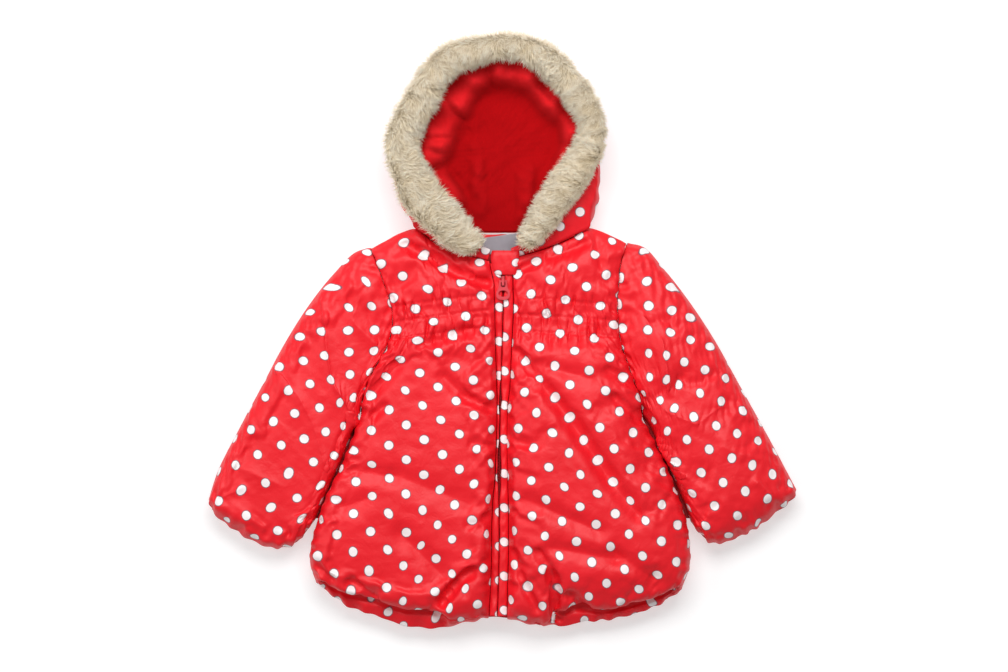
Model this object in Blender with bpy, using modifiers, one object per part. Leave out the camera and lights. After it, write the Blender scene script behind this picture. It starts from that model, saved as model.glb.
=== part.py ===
"""A child's padded jacket with a fur-trimmed hood, lying on its back, for Blender 4.5.

Metres, +Z up, the hood towards +Y and the wearer's front up. The origin is on the surface that the
jacket lies on, under the middle of its outline. Tables and sizes are in millimetres. "Left" and
"right" are as seen from above.
"""

import math

import bmesh
import bpy
import numpy as np

MM = 0.001
SEAM_GAP = 0.3           # between two pieces at a seam
SLEEVE_GAP = 0.9         # between a sleeve and the body, whose seam is curved
PAD = 11.5               # thickness of a padded panel where it is not pinched

# Heights above the surface
BACK_FLOOR = 11.0        # the back panel's inner side
SIDE_SEAM = 23.0         # where back and front meet
RIM_WIDTH = 8.2          # of the seam's flat rim
FRONT_UNDER = SIDE_SEAM + SEAM_GAP
HEM_BACK = 8.5           # the back panel at the hem
HEM_UNDER = 15.5         # the underside of the fronts at the hem
HEM_EDGE = 21.0          # their turned-under edge
SIDE_EDGE = 25.0
ARMHOLE_EDGE = 30.5
NECK_EDGE = 30.0
PLACKET_EDGE = 31.0
SLEEVE_EDGE = 18.0       # where a sleeve is widest
SLEEVE_FLOOR = 9.5       # inside a sleeve
SET_BACK = 0.034         # share of a sleeve's length by which its open end is set back inside

# Outlines of the body, as (x, y). The side runs from the hem's corner to the underarm.
LEFT_SIDE = [(-168, -227), (-173.3, -211), (-172.4, -193), (-168, -175), (-160, -152), (-148, -127),
             (-135.5, -98), (-127.4, -73)]
LEFT_ARMHOLE = [(-127.4, -73), (-124.7, -58), (-119.3, -42), (-110.3, -26), (-103.1, -13), (-99.5, 1),
                (-98.6, 14.4), (-101.3, 28), (-106.7, 44), (-112.1, 59), (-118.4, 74.7)]
LEFT_SHOULDER = [(-118.4, 74.7), (-105.8, 81), (-92.3, 88.2), (-77.9, 91.8)]
LEFT_NECKLINE = [(-77.9, 91.8), (-65.3, 82), (-42.8, 71.1), (-12.2, 63)]
LEFT_PLACKET = [(-12.2, 63), (-11.3, -8), (-11.3, -62), (-13.1, -152), (-12.2, -206), (-13.1, -259)]
LEFT_HEM = [(-13.1, -259), (-29.3, -262), (-47.3, -266.4), (-65.3, -268.2), (-92.3, -264.6),
            (-114.8, -256.5), (-137.3, -249.3), (-152.6, -239.4), (-168, -227)]

RIGHT_SIDE = [(161.6, -233), (168.8, -211), (168.8, -193), (165.2, -170), (158, -147.6), (149, -125),
              (137.3, -101), (125.6, -75.6)]
RIGHT_ARMHOLE = [(125.6, -75.6), (123.8, -60.3), (117.5, -44.1), (112.1, -27.9), (106.7, -12.6),
                 (104, 5.4), (103.1, 23.4), (104, 41.4), (105.8, 59.4), (111.2, 79.2)]
RIGHT_SHOULDER = [(111.2, 79.2), (98.6, 85.5), (86, 90.9), (78.8, 92.7)]
RIGHT_NECKLINE = [(78.8, 92.7), (62.6, 83.7), (41, 74.7), (17.6, 67.5), (9.5, 64.8)]
RIGHT_PLACKET = [(9.5, 64.8), (10.4, 28), (8.6, -17), (6.8, -62), (6.8, -152), (7.7, -206), (7.7, -260)]
RIGHT_HEM = [(7.7, -260), (24.8, -263.7), (36.5, -266.4), (42.8, -263.7), (49.1, -266.4),
             (69.8, -262.8), (96.8, -260.1), (123.8, -253.8), (146.3, -243.9), (161.6, -233)]

BACK_NECKLINE = [(-77.9, 91.8), (-40, 88.4), (0, 87.8), (40, 88.6), (78.8, 92.7)]
ZIP_LINE = [(-4.5, -260), (-3.2, -206), (-3.2, -152), (-1.8, -62), (-0.5, -17), (0.5, 28), (0.5, 66)]

# Outlines of the sleeves, from the shoulder's tip or the underarm to the cuff
LEFT_SLEEVE_OUTER = [(-119, 75), (-131.9, 71.1), (-150.8, 53.1), (-173.3, 25.2), (-195.8, -9.9),
                     (-216.5, -48.6), (-238.1, -89.1), (-258.8, -131.4), (-265.2, -152.1)]
LEFT_SLEEVE_INNER = [(-128.4, -73.4), (-135.2, -91), (-143, -111.6), (-151.4, -130.5),
                     (-158.2, -145), (-163.4, -157.5), (-168.4, -169.2)]
LEFT_CUFF = [(-265.2, -152.1), (-261, -163.8), (-249.8, -173.7), (-233.6, -184.5), (-216.5, -193.5),
             (-195.8, -195.3), (-185, -190), (-176, -179.1), (-168.4, -169.2)]
RIGHT_SLEEVE_OUTER = [(111.9, 79.6), (123.8, 77.4), (146.3, 54.9), (168.8, 26.1), (191.3, -8.1),
                      (213.8, -48.6), (236.3, -89.1), (254.3, -122.4), (265.2, -143.1)]
RIGHT_SLEEVE_INNER = [(126.4, -76), (134.6, -89.1), (141.4, -104.4), (150.4, -123.3), (158.6, -143.1),
                      (165, -158), (169.8, -171.9)]
RIGHT_CUFF = [(265.2, -143.1), (261.5, -152.1), (249.8, -161.1), (236.3, -172.8), (213.8, -185.4),
              (194, -191.7), (187.7, -190.8), (177.8, -181.8), (169.8, -171.9)]

# Hood shell's outline, from its right end at the neck round the crown to its left end
HOOD_OUTLINE = [(78.4, 93.4), (82.6, 103), (87.8, 120), (88.6, 149.4), (89.2, 171.9), (86.5, 192.6),
                (77, 212.4), (62.6, 232), (44.6, 247.6), (24.8, 258), (-5, 262), (-36.5, 256),
                (-61.7, 241), (-77, 223), (-88.7, 199), (-96.8, 176.4), (-101.5, 155), (-95.9, 127),
                (-88.7, 107.5), (-77.4, 92.4)]
HOOD_MIDDLE = (-4.0, 165.0)
HOOD_RIM = 36.0
HOOD_FLOOR = 8.5
LINING_WALL = 2.8
WALL, NECK, END = "wall", "neck", "end"

# Fur trim: middle line x, y and height z, half its width across, half its height
FUR = [
    # x,     y,     z,  wide, high
    (-23.0, 75.0, 45.0, 9.5, 10.0),
    (-37.4, 84.2, 46.5, 15.0, 11.5),
    (-54.9, 103.1, 49.5, 18.5, 13.0),
    (-72.0, 120.2, 50.5, 19.4, 13.5),
    (-83.7, 144.5, 50.5, 17.0, 13.5),
    (-90.4, 166.5, 50.5, 17.0, 13.5),
    (-86.0, 184.5, 51.0, 15.6, 13.5),
    (-73.4, 207.0, 51.5, 15.8, 14.0),
    (-62.6, 228.6, 51.5, 15.0, 14.0),
    (-42.8, 246.0, 51.5, 15.2, 14.0),
    (-19.4, 252.4, 51.5, 13.8, 14.0),
    (7.7, 255.8, 51.0, 12.8, 13.5),
    (32.4, 248.0, 51.5, 14.3, 14.0),
    (54.5, 229.5, 51.5, 14.7, 14.0),
    (70.7, 207.5, 51.0, 14.4, 13.5),
    (80.6, 185.9, 50.5, 13.4, 13.5),
    (75.6, 161.1, 50.5, 15.4, 13.5),
    (61.2, 138.2, 50.0, 17.0, 13.0),
    (47.3, 117.9, 49.0, 15.8, 12.5),
    (33.0, 95.5, 47.0, 13.2, 11.5),
    (21.0, 78.5, 45.0, 9.5, 10.0),
]

# Height of the padding's crown along a front, from the hem (0) to the neck (1)
FRONT_CROWN = [(0.0, 41), (0.12, 46), (0.35, 47.5), (0.6, 45), (0.74, 42), (0.8, 38), (0.9, 38), (1.0, 35)]
SLEEVE_CROWN = [(0.0, 33), (0.12, 38), (0.4, 40), (0.75, 40), (0.92, 38), (1.0, 34)]

# Soft troughs (and, with a negative depth, ridges) in the fronts, from one point to another
FRONT_FOLDS = [
    # x0,    y0,    x1,    y1,  depth, half-width
    (-94.0, 82.0, -12.0, 41.0, 3.0, 6.0),
    (-60.0, 92.0, -38.0, 66.0, 2.4, 5.0),
    (-122.0, -60.0, -66.0, -12.0, 2.6, 9.0),
    (-50.0, -246.0, -28.0, -212.0, 5.0, 6.0),
    (-78.0, -188.0, -52.0, -222.0, 2.6, 9.0),
    (-140.0, -120.0, -92.0, -112.0, 2.0, 9.0),
    (-52.0, -78.0, -12.0, -96.0, 2.2, 6.0),
    (-100.0, -130.0, -20.0, -160.0, 1.6, 12.0),
    (-120.0, -215.0, -164.0, -224.0, 3.0, 6.0),
    (12.0, -20.0, 56.0, -74.0, 4.0, 9.0),
    (56.0, -74.0, 128.0, -166.0, 5.0, 11.0),
    (42.0, -198.0, 49.0, -258.0, 6.0, 6.5),
    (34.0, -232.0, 46.0, -250.0, 3.0, 5.0),
    (16.0, -150.0, 96.0, -184.0, 1.8, 8.0),
    (122.0, -78.0, 100.0, -62.0, 2.6, 6.0),
    (78.0, 88.0, 92.0, 58.0, 2.2, 7.0),
    (20.0, -212.0, 112.0, -206.0, 1.4, 8.0),
    (10.0, 60.0, 22.0, 60.0, 3.0, 8.0),
    (90.0, -20.0, 112.0, -60.0, 2.0, 8.0),
]

# Soft troughs in the sleeves
SLEEVE_FOLDS = [
    # x0,     y0,     x1,     y1,   depth, half-width
    (-162.0, 38.0, -158.0, -18.0, 3.2, 8.0),
    (-158.0, -18.0, -146.0, -64.0, 3.6, 9.0),
    (-206.0, -34.0, -170.0, -84.0, 2.6, 9.0),
    (-170.0, -84.0, -156.0, -128.0, 2.6, 8.0),
    (-124.0, 34.0, -140.0, 4.0, 2.0, 6.0),
    (-140.0, -52.0, -131.0, -84.0, 5.0, 9.0),
    (-240.0, -122.0, -196.0, -140.0, 1.6, 10.0),
    (144.0, -4.0, 149.0, -58.0, 3.6, 8.0),
    (132.0, -48.0, 176.0, -92.0, 3.0, 8.0),
    (176.0, -80.0, 200.0, -64.0, 2.0, 7.0),
    (136.0, -86.0, 170.0, -142.0, 4.0, 9.0),
    (112.0, 20.0, 150.0, 4.0, 1.6, 8.0),
    (196.0, -104.0, 236.0, -118.0, 1.6, 9.0),
]

# The hood's lower front edges: share of the neckline from the shoulder, width and height
LEFT_EDGE_WIDTHS = [(0.2, 3, 32.6), (0.4, 9, 33.6), (0.7, 13, 33.0), (0.84, 11.5, 31.2), (1.0, 9.5, 31.0)]
RIGHT_EDGE_WIDTHS = [(0.2, 3, 32.6), (0.4, 8, 33.6), (0.66, 12, 33.0), (0.74, 11, 31.2), (1.0, 9, 31.0)]

# Bunches and ridges of the fleece lining, raised from its floor and wall
LINING_FOLDS = [
    # x0,    y0,    x1,    y1,  height, half-width
    (-46.0, 196.0, -24.0, 226.0, 15.0, 10.0),
    (-12.0, 218.0, -10.0, 240.0, 13.0, 7.0),
    (4.0, 228.0, 40.0, 216.0, 12.0, 10.0),
    (40.0, 212.0, 62.0, 190.0, 9.0, 8.0),
    (-70.0, 174.0, -40.0, 178.0, 12.0, 8.0),
    (-64.0, 152.0, -34.0, 112.0, 7.0, 7.0),
    (-20.0, 184.0, -20.0, 100.0, 3.2, 8.0),
    (10.0, 196.0, 14.0, 98.0, 3.6, 9.0),
    (34.0, 196.0, 44.0, 150.0, 6.0, 8.0),
    (28.0, 150.0, 22.0, 112.0, 3.4, 6.0),
]

# The strip between the bubble's fold and the hem's edge: share of the hem from the placket, its
# width, and how far it is set down from the bubble (0 where the bubble reaches the edge)
LEFT_HEM_STRIP = [(0.0, 6, 0), (0.2, 6, 0), (0.27, 18, 1), (0.45, 19, 1), (0.65, 15, 1), (0.82, 17, 1),
                  (0.95, 8, 0.5), (1.0, 5, 0)]
RIGHT_HEM_STRIP = [(0.0, 6, 0), (0.24, 6, 0), (0.3, 16, 1), (0.5, 13, 1), (0.75, 12, 1), (0.9, 11, 1),
                   (1.0, 5, 0)]

# Shirring: shares of a front's height at the three rows of elastic, and pleats across a front
SHIRRING_ROWS = (0.805, 0.845, 0.892)
SHIRRING_Y = -8.0        # height at which the lowest row meets the armhole
FRONT_PLEATS = 11
PLEAT_HEIGHT = 1.5
ELASTIC_DIP = 1.6
HEM_GATHERS = 9
CUFF_GATHERS = 8
GATHER_HEIGHT = 1.4

# Zip
ZIP_BOTTOM = -257.0
SLIDER_Y = 45.0
SLIDER_WIDTH = 8.4
SLIDER_LENGTH = 10.5
SLIDER_PLATE = 2.2
TEETH_WIDTH = 4.6
TEETH_LOW = 23.8
TEETH_HIGH = 26.4
TAPE_LOW = 23.7
TAPE_THICK = 1.0
PLACKET_LOW = 27.0
PLACKET_TOP = 31.0
HINGE_Z = 33.6
TAB_THICK = 1.6
TAB_WIDTH = 12.4
TAB_LENGTH = 17.0

COLOURS = {
    # finish:   (red, green, blue, roughness, metallic)
    "shell": (0.78, 0.03, 0.05, 0.42, 0.0),
    "fleece": (0.50, 0.01, 0.02, 0.95, 0.0),
    "fur": (0.66, 0.58, 0.46, 0.98, 0.0),
    "zip tape": (0.52, 0.01, 0.02, 0.75, 0.0),
    "zip plastic": (0.55, 0.02, 0.03, 0.38, 0.0),
    "enamelled metal": (0.66, 0.05, 0.07, 0.3, 0.4),
    "label": (0.72, 0.70, 0.70, 0.8, 0.0),
}


# ---- curves and patches ----


def smooth_curve(points, knots=None):
    """A smooth curve through points, as a function of its share from 0 to 1."""
    points = np.array(points, float)
    if knots is None:
        knots = np.concatenate([[0], np.cumsum(np.linalg.norm(np.diff(points, axis=0), axis=1))])
    knots = np.array(knots, float) / knots[-1]
    slopes = np.gradient(points, knots, axis=0)

    def at(share):
        share = np.clip(np.asarray(share, float), 0, 1)
        i = np.clip(np.searchsorted(knots, share, side="right") - 1, 0, len(knots) - 2)
        step = (knots[i + 1] - knots[i])[..., None]
        t = ((share - knots[i])[..., None]) / step
        return ((2 * t**3 - 3 * t**2 + 1) * points[i] + (t**3 - 2 * t**2 + t) * step * slopes[i]
                + (3 * t**2 - 2 * t**3) * points[i + 1] + (t**3 - t**2) * step * slopes[i + 1])

    return at


def joined(*stretches):
    """Outline stretches end to end, without the repeated points between them."""
    points = list(stretches[0])
    for stretch in stretches[1:]:
        points += stretch[1:]
    return points


def patch(bottom, top, left, right):
    """A four-sided plan between boundary curves: a function of (u across, v along)."""
    corners = bottom(0.0), bottom(1.0), top(0.0), top(1.0)

    def at(u, v):
        u, v = np.broadcast_arrays(np.asarray(u, float), np.asarray(v, float))
        a, b = u[..., None], v[..., None]
        ruled = (1 - b) * bottom(u) + b * top(u) + (1 - a) * left(v) + a * right(v)
        flat = ((1 - a) * (1 - b) * corners[0] + a * (1 - b) * corners[1]
                + (1 - a) * b * corners[2] + a * b * corners[3])
        return ruled - flat

    return at


def from_table(table, column=1):
    """A smooth function through one column of a table whose first column is the place."""
    rows = np.array(table, float)
    curve = smooth_curve(rows[:, [column]], rows[:, 0])
    return lambda share: curve(share)[..., 0]


def eased(share):
    """0 to 1 with no corner at either end."""
    t = np.clip(share, 0, 1)
    return t * t * (3 - 2 * t)


def rounded(distance, radius):
    """0 at an edge and 1 from the radius inwards, rising as a quarter circle does."""
    t = np.clip(distance / radius, 0, 1)
    return np.sqrt(1 - (1 - t) ** 2)


def fold_depth(points, folds):
    """Depth of all the folds of a table at each plan point."""
    depth = np.zeros(points.shape[:-1])
    for x0, y0, x1, y1, deep, wide in folds:
        start = np.array([x0, y0])
        along = np.array([x1 - x0, y1 - y0])
        reach = np.linalg.norm(along)
        share = ((points - start) @ along) / reach**2
        near = start + np.clip(share, 0, 1)[..., None] * along
        off = np.linalg.norm(points - near, axis=-1)
        ends = eased((share * reach + wide) / (2 * wide)) * eased(((1 - share) * reach + wide) / (2 * wide))
        depth = depth + deep * ends * np.exp(-((off / wide) ** 2))
    return depth


# ---- meshes ----


def finish(name):
    """The material for one of the finishes in COLOURS."""
    material = bpy.data.materials.get(name)
    if material is None:
        red, green, blue, roughness, metallic = COLOURS[name]
        material = bpy.data.materials.new(name)
        material.use_nodes = True
        shader = material.node_tree.nodes["Principled BSDF"]
        shader.inputs["Base Color"].default_value = (red, green, blue, 1)
        shader.inputs["Roughness"].default_value = roughness
        shader.inputs["Metallic"].default_value = metallic
        material.diffuse_color = (red, green, blue, 1)
    return material


def add_object(name, mesh, collection, material):
    """An object that holds the mesh, with its finish, in the collection."""
    part = bpy.data.objects.new(name, mesh)
    collection.objects.link(part)
    mesh.materials.clear()
    mesh.materials.append(finish(material))
    mesh.shade_smooth()
    mesh.set_sharp_from_angle(angle=math.radians(50))
    return part


def closed_mesh(name, points, faces):
    """A mesh of points in millimetres, with its normals turned outwards."""
    mesh = bpy.data.meshes.new(name)
    mesh.from_pydata([tuple(MM * value for value in point) for point in points], [], faces)
    shape = bmesh.new()
    shape.from_mesh(mesh)
    bmesh.ops.recalc_face_normals(shape, faces=shape.faces)
    shape.to_mesh(mesh)
    shape.free()
    return mesh


def stitch_loops(first, second, first_at, second_at):
    """Triangles between two closed loops of vertex numbers, whose places round run from 0 up."""
    faces = []
    i = j = 0
    while i < len(first) or j < len(second):
        middle_a = first_at[i] + first_at[i + 1] if i < len(first) else math.inf
        middle_b = second_at[j] + second_at[j + 1] if j < len(second) else math.inf
        a, b = first[i % len(first)], second[j % len(second)]
        if middle_a <= middle_b:
            i += 1
            faces.append((a, first[i % len(first)], b))
        else:
            j += 1
            faces.append((a, second[j % len(second)], b))
    return faces


def grid_faces(rows, columns, start=0):
    return [(start + i * columns + j, start + i * columns + j + 1,
             start + (i + 1) * columns + j + 1, start + (i + 1) * columns + j)
            for i in range(rows - 1) for j in range(columns - 1)]


def grid_edge(rows, columns, start=0):
    """The vertex numbers round a grid's edge, and the place of each: a side for each whole number."""
    bottom = [(0, j, j / (columns - 1)) for j in range(columns - 1)]
    right = [(i, columns - 1, 1 + i / (rows - 1)) for i in range(rows - 1)]
    top = [(rows - 1, j, 2 + (columns - 1 - j) / (columns - 1)) for j in range(columns - 1, 0, -1)]
    left = [(i, 0, 3 + (rows - 1 - i) / (rows - 1)) for i in range(rows - 1, 0, -1)]
    loop = bottom + right + top + left
    return [start + i * columns + j for i, j, _ in loop], [place for _, _, place in loop] + [4.0]


def loop_faces(first, second):
    """Quads between two closed loops with as many vertices each."""
    count = len(first)
    return [(first[k], first[(k + 1) % count], second[(k + 1) % count], second[k]) for k in range(count)]


# ---- fronts ----


def side_places(side, armhole):
    """Shares along a side and armhole, so that rows of elastic meet them at the right height."""
    heights = [y for _, y in joined(side, armhole)]
    return np.interp(heights, [heights[0], SHIRRING_Y, heights[-1]], [0, SHIRRING_ROWS[0], 1])


def underarm(side, armhole):
    """The share of a side and armhole at which the armhole starts."""
    return side_places(side, armhole)[len(side) - 1]


def front_patch(hem, side, armhole, shoulder, neckline, placket):
    """A front's plan: u from the placket to the side, v from the hem to the neck."""
    edge = list(reversed(placket))
    places = [(y - edge[0][1]) / (edge[-1][1] - edge[0][1]) for _, y in edge]
    top = list(reversed(joined(shoulder, neckline)))
    return patch(smooth_curve(hem), smooth_curve(top), smooth_curve(edge, places),
                 smooth_curve(joined(side, armhole), side_places(side, armhole)))


def front_heights(plan, u, v, hem_drop, strip, armhole_from, shoulder_from):
    """Height of a front's upper side, before its folds and pleats."""
    across = np.linalg.norm(plan(1.0, v) - plan(0.0, v), axis=-1)
    along = np.linalg.norm(plan(u, 1.0) - plan(u, 0.0), axis=-1)
    crown = from_table(FRONT_CROWN)(v)
    at_armhole = eased((v - armhole_from + 0.02) / 0.05)
    side_edge = SIDE_EDGE + (ARMHOLE_EDGE - SIDE_EDGE) * at_armhole
    side_edge = side_edge + (HEM_EDGE - side_edge) * (1 - eased(v * along / 35))
    top_edge = NECK_EDGE + (SIDE_EDGE - NECK_EDGE) * eased((u - shoulder_from + 0.03) / 0.06)
    strip_height = HEM_EDGE + 4.5 * np.sin(np.clip(hem_drop / strip[0], 0, 1) * math.pi * 0.55)
    drops = [
        (crown - side_edge) * (1 - rounded((1 - u) * across, 26 - 8 * at_armhole)),
        (crown - PLACKET_EDGE) * (1 - rounded(u * across, 20)),
        (crown - top_edge) * (1 - rounded((1 - v) * along, 20)),
        np.where(hem_drop < strip[0] * strip[1],
                 crown - strip_height,
                 (crown - HEM_EDGE - 4 * strip[1]) * (1 - rounded(hem_drop - strip[0] * strip[1], 24))),
    ]
    total = sum(drop**6 for drop in drops) ** (1 / 6)
    return np.maximum(crown - total, HEM_EDGE)


def front_pleats(u, v, seed):
    """Small pleats between the rows of elastic and fading out above and below them."""
    low, middle, high = SHIRRING_ROWS
    wave = np.cos(2 * math.pi * (FRONT_PLEATS * u + 0.16 * np.sin(9 * u + seed)))
    uneven = 0.75 + 0.25 * np.sin(23 * u + 2 * seed)
    band = eased((v - low + 0.05) / 0.05) * eased((high + 0.035 - v) / 0.035)
    dips = sum(np.exp(-(((v - row) / 0.009) ** 2)) for row in SHIRRING_ROWS)
    edges = eased(u / 0.06) * eased((1 - u) / 0.05)
    flip = np.where(v > middle, 1.0, np.cos(0.9 * np.sin(14 * u + seed)))
    return edges * band * (PLEAT_HEIGHT * uneven * flip * wave * (1 - 0.45 * np.clip(dips, 0, 1))
                           - ELASTIC_DIP * np.clip(dips, 0, 1))


def hem_waves(u, hem_drop, gathers, seed, reach=22):
    """Gathers that run in from a hem or cuff."""
    wave = np.cos(2 * math.pi * (gathers * u + 0.2 * np.sin(7 * u + seed)))
    uneven = 0.7 + 0.3 * np.sin(17 * u + 3 * seed)
    fade = (1 - eased(hem_drop / reach)) * eased(u / 0.05) * eased((1 - u) / 0.05)
    return GATHER_HEIGHT * wave * uneven * fade


def front(name, plan, strip_table, armhole_from, shoulder_from, seed, collection):
    """A padded front: crowned and folded above, plain and domed inside."""
    columns = FRONT_PLEATS * 4 + 1
    u = np.linspace(0, 1, columns)
    u = u + 0.008 * np.sin(2 * math.pi * u)
    strip_wide = from_table(strip_table, 1)(u)
    strip_set = np.clip(from_table(strip_table, 2)(u), 0, 1)
    along = np.linalg.norm(plan(u, 1.0) - plan(u, 0.0), axis=-1)
    near_hem = [0.0 * strip_wide, 0.5 * strip_wide, 0.94 * strip_wide, 1.06 * strip_wide,
                strip_wide + 4, strip_wide + 10, strip_wide + 18, strip_wide + 30]
    low, middle, high = SHIRRING_ROWS
    upper = [0.24, 0.34, 0.44, 0.54, 0.63, 0.70, 0.755, low, (low + middle) / 2, middle,
             (middle + high) / 2, high, high + 0.03, 0.955, 0.982, 1.0]
    v = np.array([drop / along for drop in near_hem] + [np.full(columns, share) for share in upper])
    rows = len(v)
    u = np.broadcast_to(u, v.shape)
    drop = v * along
    strip = (np.broadcast_to(strip_wide, v.shape), np.broadcast_to(strip_set, v.shape))
    place = plan(u, v)
    height = front_heights(plan, u, v, drop, strip, armhole_from, shoulder_from)
    inner = eased(u / 0.04) * eased((1 - u) / 0.06) * eased((1 - v) / 0.03) * eased(drop / 6)
    crease = strip[1] * 2.2 * np.exp(-(((drop - strip[0] * 1.06) / 2.2) ** 2))
    height = height + inner * (front_pleats(u, v, seed) - fold_depth(place, FRONT_FOLDS) - crease)
    height = height + hem_waves(u, drop, HEM_GATHERS, seed)
    under_edge = HEM_UNDER + (FRONT_UNDER - HEM_UNDER) * eased(drop / 35)
    height = np.maximum(height, under_edge + 1.5)
    points = [(*xy, z) for xy, z in zip(place.reshape(-1, 2), height.reshape(-1))]

    # The edge's lower rim, straight under the outer one
    outer, places = grid_edge(rows, columns)
    rim_start = len(points)
    for k in outer:
        points.append((points[k][0], points[k][1], under_edge.reshape(-1)[k]))
    rim = list(range(rim_start, rim_start + len(outer)))
    outer_round = [(u.reshape(-1)[k], v.reshape(-1)[k]) for k in outer]

    # The inner side: a coarse grid, set in from the seams and domed by the padding's thickness
    in_columns, in_rows = 12, 14
    a = np.broadcast_to(np.linspace(0, 1, in_columns), (in_rows, in_columns))
    b = np.broadcast_to(np.linspace(0, 1, in_rows)[:, None], (in_rows, in_columns))
    width = np.linalg.norm(plan(1.0, b) - plan(0.0, b), axis=-1)
    length = np.linalg.norm(plan(a, 1.0) - plan(a, 0.0), axis=-1)
    side_set = 9 - 4 * eased((b - armhole_from + 0.04) / 0.08)
    top_set = 4 + 5 * eased((a - shoulder_from + 0.06) / 0.1)
    inner_u = (3.5 + a * (width - 3.5 - side_set)) / width
    inner_v = (6 + b * (length - 6 - top_set)) / length
    inside = plan(inner_u, inner_v)
    edge_off = np.minimum.reduce([a * width, (1 - a) * width, b * length * 1.2, (1 - b) * length])
    dome = np.maximum(from_table(FRONT_CROWN)(inner_v) - PAD - FRONT_UNDER, 0) * eased(edge_off / 42)
    base = HEM_UNDER + 1 + (FRONT_UNDER - HEM_UNDER - 1) * eased(inner_v * length / 40)
    inner_start = len(points)
    points += [(*xy, z) for xy, z in zip(inside.reshape(-1, 2), (base + dome).reshape(-1))]
    inner_loop, inner_places = grid_edge(in_rows, in_columns, inner_start)

    rim_places = []
    for (across, up), place_round in zip(outer_round, places):
        side = min(int(place_round), 3)
        rim_places.append([across, 1 + up, 3 - across, 4 - up][side])
    faces = grid_faces(rows, columns) + loop_faces(outer, rim)
    faces += stitch_loops(rim, inner_loop, rim_places + [4.0], inner_places)
    faces += [tuple(reversed(face)) for face in grid_faces(in_rows, in_columns, inner_start)]
    return add_object(name, closed_mesh(name, points, faces), collection, "shell")


# ---- back ----


def length_of(points):
    return float(np.linalg.norm(np.diff(np.array(points, float), axis=0), axis=1).sum())


def back_top():
    """The back's top edge, and its shares at the left and right ends of the neckline."""
    points = joined(LEFT_SHOULDER, BACK_NECKLINE, list(reversed(RIGHT_SHOULDER)))
    whole = length_of(points)
    return smooth_curve(points), length_of(LEFT_SHOULDER) / whole, 1 - length_of(RIGHT_SHOULDER) / whole


def back(collection):
    """The back panel: a tray, flat underneath, whose rim rises to the side and shoulder seams."""
    hem = smooth_curve(joined(list(reversed(LEFT_HEM)), RIGHT_HEM))
    top, neck_from, neck_to = back_top()
    left = smooth_curve(joined(LEFT_SIDE, LEFT_ARMHOLE), side_places(LEFT_SIDE, LEFT_ARMHOLE))
    right = smooth_curve(joined(RIGHT_SIDE, RIGHT_ARMHOLE), side_places(RIGHT_SIDE, RIGHT_ARMHOLE))
    plan = patch(hem, top, left, right)
    per_side, per_end = 22, 24
    top_shares = np.concatenate([np.linspace(0, neck_from, 5),
                                 np.linspace(neck_from + 0.015, neck_to - 0.015, 11),
                                 np.linspace(neck_to, 1, 5)])
    loop = ([(k / per_end, 0.0) for k in range(per_end)]
            + [(1.0, k / per_side) for k in range(per_side)]
            + [(share, 1.0) for share in reversed(top_shares[1:])]
            + [(0.0, 1 - k / per_side) for k in range(per_side)])
    armhole_from = {0.0: underarm(LEFT_SIDE, LEFT_ARMHOLE), 1.0: underarm(RIGHT_SIDE, RIGHT_ARMHOLE)}

    def profile(u, v):
        """How far each level of the edge is set in, and how high it is, at a place round the outline."""
        off_hem = v * float(np.linalg.norm(plan(u, 1.0) - plan(u, 0.0)))
        away = float(eased(off_hem / 35))
        floor = HEM_BACK + (BACK_FLOOR - HEM_BACK) * away
        if v == 0.0:
            seam = 0.0
        elif v == 1.0:
            seam = 0.0 if neck_from < u < neck_to else 1.0
        else:
            seam = away * (1 - float(eased((v - armhole_from[u] + 0.035) / 0.035)))
        rim = floor + (SIDE_SEAM - floor) * seam
        return [
            (2.5 + 8.5 * seam, 0.0),
            (1.0 + 3.0 * seam, 0.16 * rim),
            (0.2 + 0.5 * seam, 0.45 * rim),
            (0.0, 0.75 * rim),
            (0.1, rim),
            (0.6 + RIM_WIDTH * seam, rim),
            (1.2 + 8.4 * seam, floor + 0.35 * (rim - floor)),
            (2.4 + 11.6 * seam, floor),
        ]

    points = []
    loops = []
    levels = len(profile(0.0, 0.5))
    rows = [profile(u, v) for u, v in loop]
    for level in range(levels):
        ring = []
        for (u, v), steps in zip(loop, rows):
            inset, height = steps[level]
            width = float(np.linalg.norm(plan(1.0, v) - plan(0.0, v)))
            length = float(np.linalg.norm(plan(u, 1.0) - plan(u, 0.0)))
            # The inset runs inwards from the nearest edges, so the loops never cross
            shift_u = inset / width
            shift_v = inset / length
            new_u = shift_u + u * (1 - 2 * shift_u)
            new_v = shift_v + v * (1 - 2 * shift_v)
            ring.append(len(points))
            points.append((*plan(new_u, new_v), height))
        loops.append(ring)
    faces = [tuple(loops[0])]
    for first, second in zip(loops, loops[1:]):
        faces += loop_faces(first, second)
    faces.append(tuple(reversed(loops[-1])))
    return add_object("back", closed_mesh("back", points, faces), collection, "shell")


# ---- sleeves ----


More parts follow.
